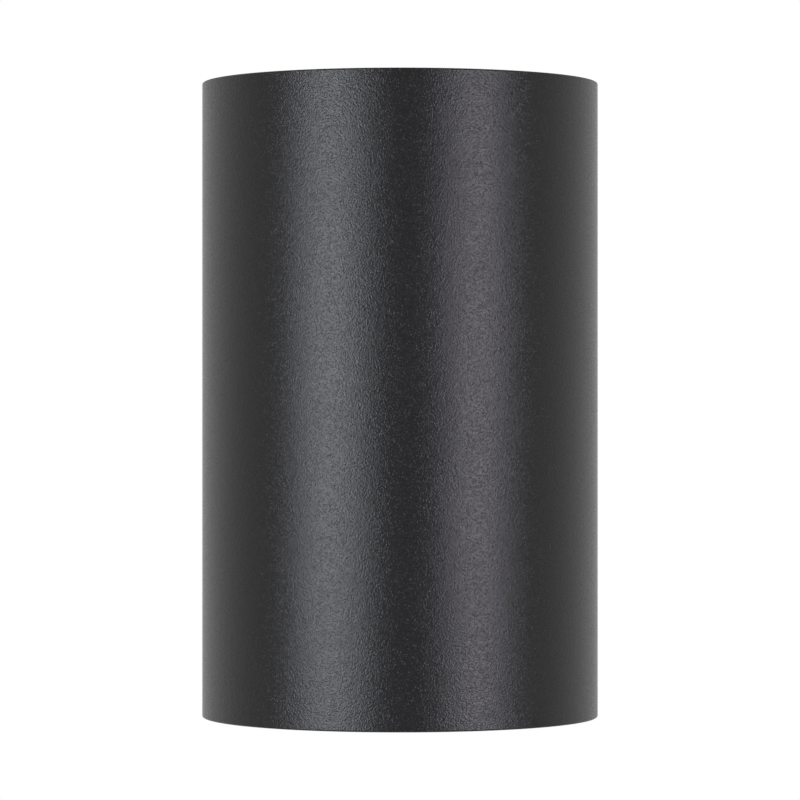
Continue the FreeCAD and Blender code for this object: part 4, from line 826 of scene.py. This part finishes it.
class SCONCE_OT_lamp_optic(Operator):
    """Moulds the lamp's clear optic: a plate with seven domed, ringed lenses and the cones behind them"""

    bl_idname = "sconce.lamp_optic"
    bl_label = "Make Lamp Optic"

    plate_facets = 128
    lens_facets = 40
    lenses_round = 6
    edge_round = 0.0003

    def execute(self, context):
        low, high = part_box("lamp_optic")
        front, back = low.z, high.z
        radius = (high.x - low.x) / 2
        points = local_points("lamp_optic", CYLINDER)
        plate = min(z for x, y, z in points if z > front + ON_FACE) - front
        # The foot of the cone that stands to the right of the middle one
        feet = [x for x, y, z in points if z > back - ON_FACE and x > radius * 0.3 and abs(y) < x * 0.3]
        circle = (min(feet) + max(feet)) / 2
        foot = (max(feet) - min(feet)) / 2

        outline = [(0, front), (radius, front), (radius, front + plate), (0, front + plate)]
        blank = spun(softened(outline, self.edge_round), self.plate_facets)
        lens = spun(lens_outline(context.scene.sconce_lamp, front, back, plate, radius, foot),
                    self.lens_facets)
        around = [math.tau * i / self.lenses_round for i in range(self.lenses_round)]
        spots = [(0, 0)] + [(circle * math.cos(turn), circle * math.sin(turn)) for turn in around]
        lenses = [copied(lens, Matrix.Translation((x, y, 0))) for x, y in spots]
        lens.free()
        optic = moved(combined(blank, lenses, "UNION"), CYLINDER)
        acrylic = clear("ClearAcrylic", (0.985, 0.99, 0.99), 0.03, 1.49, 0.000003)
        finish_piece("LampOptic", optic, acrylic, "lamp", ["lamp_optic"], sharp=28)
        return {"FINISHED"}


class SCONCE_OT_lamp_cap(Operator):
    """Rolls the thread of the lamp's screw cap"""

    bl_idname = "sconce.lamp_cap"
    bl_label = "Make Lamp Cap"

    shoulder_round = 0.0008

    def execute(self, context):
        lamp = context.scene.sconce_lamp
        low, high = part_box("lamp_cap")
        start, top, sheet = low.z, high.z, lamp.sheet
        radius = (high.x - low.x) / 2
        middle = cap_middle()
        inner = middle - sheet
        shoulder, hole = radius * 0.79, radius * 0.46
        thread_low = start + radius * 0.23
        thread_high = top - radius * 0.19
        skirt_end = thread_low - sheet * 2
        step = lamp.cap_pitch / CAP_ROWS
        run_out = lamp.cap_pitch / 3

        skirt = [(radius, start), (radius, skirt_end)]
        outside = [(middle, z) for z in rows(thread_low, thread_high, step)]
        over = softened([(middle, thread_high), (shoulder, top), (hole, top)], self.shoulder_round)[1:]
        under = softened([(hole, top - sheet), (shoulder - sheet, top - sheet), (inner, thread_high)],
                         self.shoulder_round)[:-1]
        inside = [(inner, z) for z in rows(thread_high, thread_low, step)]
        lining = [(radius - sheet, skirt_end), (radius - sheet, start)]
        cap = spun(skirt + outside + over + under + inside + lining, CAP_FACETS, closed=True)
        roll_thread(cap, thread_low - sheet, thread_low + run_out, thread_high - run_out, thread_high)
        nickel = satin_metal("NickelCap", (0.72, 0.70, 0.66), 0.20)
        finish_piece("LampCap", moved(cap, CYLINDER), nickel, "lamp", ["lamp_cap"], sharp=50)
        return {"FINISHED"}


class SCONCE_OT_machine_screws(Operator):
    """Makes the threaded pan head screws of the arm, its foot, the bracket and the lamp holder"""

    bl_idname = "sconce.machine_screws"
    bl_label = "Make Machine Screws"

    # Way that the heads face: the axis along the screws, the side of it and the turn from +Z
    ways = {
        "out": (1, -1, WALL),
        "in": (1, 1, WALL @ UPSIDE_DOWN),
        "up": (2, 1, Matrix.Identity(4)),
        "down": (2, -1, UPSIDE_DOWN),
    }

    def execute(self, context):
        threads = context.scene.sconce_threads
        zinc = satin_metal("ZincScrews", ZINC_TINT, 0.26)
        sets = (
            # node, name, head height, thread radius, pitch, way that the heads face
            ("arm_screws", "ArmScrews", 0.0032, 0.0025, threads.coarse_pitch, "out"),
            ("foot_screws", "FootScrews", 0.0026, 0.0020, threads.fine_pitch, "in"),
            ("bracket_screws", "BracketScrews", 0.0026, 0.0020, threads.fine_pitch, "down"),
            ("socket_screws", "HolderScrews", 0.0022, 0.0017, threads.fine_pitch, "up"),
        )
        for node, name, head_height, radius, pitch, way in sets:
            along, side, turn = self.ways[way]
            low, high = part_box(node)
            size = [high[i] - low[i] for i in range(3)]
            across = [i for i in range(3) if i != along]
            head_radius = min(size[i] for i in across) / 2
            apart = max(across, key=lambda i: size[i])
            seat = (low + high) / 2
            seat[along] = (high if side > 0 else low)[along] - side * head_height
            screw = pan_head_screw(threads, head_radius, head_height, radius, size[along], pitch)
            pair = []
            for end in (-1, 1):
                spot = seat.copy()
                spot[apart] += end * (size[apart] / 2 - head_radius)
                # Drawn tight, no two recesses stop at the same angle
                twist = Matrix.Rotation(math.radians(17 + 31 * end), 4, "Z")
                pair.append(copied(screw, twist, turn, Matrix.Translation(spot)))
            screw.free()
            finish_piece(name, merged(pair), zinc, "fixture", [node], sharp=40)
        return {"FINISHED"}


class SCONCE_OT_cap_nuts(Operator):
    """Makes the domed nuts that hold the canopy"""

    bl_idname = "sconce.cap_nuts"
    bl_label = "Make Cap Nuts"

    def execute(self, context):
        low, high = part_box("cap_nuts")
        corner = (high.x - low.x) / 2
        offset = (high.z - low.z) / 2 - corner * FLAT_SHARE
        nuts = wall_pair(cap_nut(corner, high.y - low.y), high.y, offset)
        black = satin_metal("BlackPlatedNuts", context.scene.sconce_coat.hardware, 0.34)
        dress(black, "cap_washers")
        finish_piece("CapNuts", nuts, black, "fixture", ["cap_nuts"], sharp=28)
        return {"FINISHED"}


class SCONCE_OT_studs(Operator):
    """Makes the threaded studs and their lock nuts"""

    bl_idname = "sconce.studs"
    bl_label = "Make Studs"

    stud_facets = 24

    def execute(self, context):
        pitch = context.scene.sconce_threads.coarse_pitch
        low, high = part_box("strap_studs")
        radius = (high.x - low.x) / 2
        total = high.y - low.y
        offset = (high.z - low.z) / 2 - radius
        point = radius * 0.8
        shank = [(radius, z) for z in rows(pitch / 2, total - pitch / 2, pitch / SCREW_ROWS)]
        rod = spun([(0, 0), (point, 0)] + shank + [(point, total), (0, total)], self.stud_facets)
        cut_thread(rod, radius, pitch, pitch * 0.2, total - pitch * 0.2)
        zinc = satin_metal("ZincStuds", ZINC_TINT, 0.24)
        finish_piece("StrapStuds", wall_pair(rod, high.y, offset), zinc, "fixture",
                     ["strap_studs"], sharp=40)

        low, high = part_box("stud_nuts")
        nut = lock_nut((high.x - low.x) / 2, high.y - low.y, radius * 1.024)
        finish_piece("StudNuts", wall_pair(nut, high.y, offset), zinc, "fixture",
                     ["stud_nuts"], sharp=28)
        return {"FINISHED"}


class SCONCE_OT_mounting_strap(Operator):
    """Finishes the strap, the washers, the ground screws and their lugs"""

    bl_idname = "sconce.mounting_strap"
    bl_label = "Finish Mounting Strap"

    def execute(self, context):
        dress(satin_metal("ZincStrap", (0.50, 0.52, 0.55), 0.30, width=0.0014), "mounting_strap")
        dress(satin_metal("ZincWashers", ZINC_TINT, 0.26), "arm_washers")
        dress(satin_metal("GreenGroundScrews", GROUND_GREEN, 0.35), "ground_screws")
        dress(satin_metal("TinnedLugs", (0.74, 0.73, 0.70), 0.28), "ground_lugs")
        return {"FINISHED"}


class SCONCE_OT_seals(Operator):
    """Makes the foam ring behind the canopy and finishes the arm's seal and the wire bushing"""

    bl_idname = "sconce.seals"
    bl_label = "Make Seals"

    def execute(self, context):
        dress(moulded("BlackArmSeal", (0.022, 0.022, 0.023), 0.7, relief=0.000008), "arm_seal")
        dress(moulded("BlackNylon", (0.03, 0.03, 0.031), 0.45), "wire_bushing")
        ring = foam_ring(context.scene.sconce_seals)
        finish_piece("FoamRing", ring, foam(), "fixture", ["canopy_gasket"], sharp=60)
        return {"FINISHED"}


class SCONCE_OT_wiring(Operator):
    """Makes the twist-on connectors and finishes the leads and the ground wire"""

    bl_idname = "sconce.wiring"
    bl_label = "Make Wiring"

    def execute(self, context):
        insulation = (
            ("BlackInsulation", (0.018, 0.018, 0.019), "lead_black"),
            ("WhiteInsulation", (0.80, 0.80, 0.77), "lead_white"),
            ("GreenInsulation", GROUND_GREEN, "ground_wire"),
        )
        for name, tint, node in insulation:
            dress(moulded(name, tint, 0.32, relief=0.000004), node)

        up = Vector((0, 0, 1))
        heading, across = Vector((1, 1, 0)).normalized(), Vector((1, -1, 0)).normalized()
        points = [point for point in local_points("wire_connectors", WALL) if point.x > 0]
        near, far = measured(points, heading)
        left, right = measured(points, across)
        low, high = measured(points, up)
        start = heading * near + across * (left + right) / 2 + up * ((low + high) / 2)
        grip = context.scene.sconce_connectors
        blank = connector(grip, (right - left) / 2, far - near)
        pair = []
        for side in (-1, 1):
            way = Vector((heading.x * side, heading.y, 0))
            spot = Vector((start.x * side, start.y, start.z))
            turn = up.rotation_difference(way).to_matrix().to_4x4()
            pair.append(copied(blank, turn, Matrix.Translation(spot), WALL))
        blank.free()
        orange = moulded("OrangeConnector", grip.tint, 0.38)
        finish_piece("WireConnectors", merged(pair), orange, "fixture",
                     ["wire_connectors"])
        return {"FINISHED"}


class SCONCE_OT_studio(Operator):
    """Sets the floor, the white backdrop, the surroundings, two soft lights and the camera"""

    bl_idname = "sconce.studio"
    bl_label = "Set Studio"

    centre = Vector((0, -AXIS_OUT, 0))

    def execute(self, context):
        scene = context.scene
        studio = scene.sconce_studio
        self.set_stage(studio)
        self.set_lights(scene, studio)
        self.set_camera(scene, studio)
        self.set_surround(scene, studio)
        scene.view_settings.view_transform = "Standard"
        return {"FINISHED"}

    def set_stage(self, studio):
        below = self.centre - Vector((0, 0, studio.floor_drop))
        disc("StudioFloor", studio.floor_radius + studio.floor_fade, Matrix.Translation(below),
             floor_finish(studio, below))
        behind = Vector((0, studio.backdrop_distance, 0))
        disc("StudioBackdrop", studio.backdrop_radius + studio.backdrop_fade,
             Matrix.Translation(behind) @ WALL, backdrop_finish(studio, behind))

    def set_lights(self, scene, studio):
        sides = (
            ("Left", studio.left_angle, studio.left_width, studio.left_power, studio.left_tint),
            ("Right", studio.right_angle, studio.right_width, studio.right_power, studio.right_tint),
        )
        for side, bearing, width, energy, tint in sides:
            name = f"{side}SoftLight"
            data = bpy.data.lights.new(name, "AREA")
            data.shape = "RECTANGLE"
            data.size = width
            data.size_y = studio.light_height
            data.energy = energy
            data.color = tint
            light = bpy.data.objects.new(name, data)
            scene.collection.objects.link(light)
            place = self.centre + Vector((math.sin(bearing), -math.cos(bearing), 0)) * studio.light_distance
            turn = (self.centre - place).to_track_quat("-Z", "Y").to_matrix().to_4x4()
            light.matrix_world = Matrix.Translation(place) @ turn
            light.visible_camera = False

    def set_camera(self, scene, studio):
        data = bpy.data.cameras.new("StudioCamera")
        data.lens = studio.lens
        data.sensor_width = 36
        data.dof.use_dof = False
        camera = bpy.data.objects.new("StudioCamera", data)
        scene.collection.objects.link(camera)
        camera.matrix_world = Matrix.Translation(self.centre - Vector((0, studio.distance, 0))) @ WALL
        scene.camera = camera

    def set_surround(self, scene, studio):
        world = bpy.data.worlds.new("StudioSurround")
        world.use_nodes = True
        tree = world.node_tree
        heading = add_node(tree, "SeparateXYZ", Vector=add_node(tree, "TexCoord").outputs["Generated"])
        seen, matt = (
            spread(tree, heading.outputs["Y"], front, back, -1.0, 1.0)
            for front, back in ((studio.camera_side, studio.surround), (studio.matt_front, studio.matt_back))
        )
        feed(tree, tree.nodes["Background"], Color=(1, 1, 1, 1), Strength=by_ray(tree, seen, matt))
        scene.world = world


STEPS = (
    SCONCE_OT_studio, SCONCE_OT_castings, SCONCE_OT_lens_cover, SCONCE_OT_baffle, SCONCE_OT_lamp_holder,
    SCONCE_OT_lamp, SCONCE_OT_lamp_optic, SCONCE_OT_lamp_cap, SCONCE_OT_machine_screws, SCONCE_OT_cap_nuts,
    SCONCE_OT_studs, SCONCE_OT_mounting_strap, SCONCE_OT_seals, SCONCE_OT_wiring,
)
GROUPS = {
    "sconce_coat": SconceCoat,
    "sconce_threads": SconceThreads,
    "sconce_lamp": SconceLamp,
    "sconce_seals": SconceSeals,
    "sconce_connectors": SconceConnectors,
    "sconce_studio": SconceStudio,
}


class SCONCE_PT_steps(Panel):
    bl_idname = "SCONCE_PT_steps"
    bl_label = "Wall Sconce"
    bl_space_type = "VIEW_3D"
    bl_region_type = "UI"
    bl_category = "Sconce"

    def draw(self, context):
        for step in STEPS:
            self.layout.operator(step.bl_idname)
        for name in GROUPS:
            box = self.layout.box()
            group = getattr(context.scene, name)
            for field in group.bl_rna.properties:
                if field.identifier not in ("rna_type", "name"):
                    box.prop(group, field.identifier)


def register():
    for group in GROUPS.values():
        bpy.utils.register_class(group)
    for name, group in GROUPS.items():
        setattr(bpy.types.Scene, name, PointerProperty(type=group))
    for item in (*STEPS, SCONCE_PT_steps):
        bpy.utils.register_class(item)


def unregister():
    for item in reversed((*STEPS, SCONCE_PT_steps)):
        bpy.utils.unregister_class(item)
    for name, group in reversed(GROUPS.items()):
        delattr(bpy.types.Scene, name)
        bpy.utils.unregister_class(group)


def main():
    register()
    for step in STEPS:
        area, name = step.bl_idname.split(".")
        getattr(getattr(bpy.ops, area), name)()


if __name__ == "__main__":
    main()
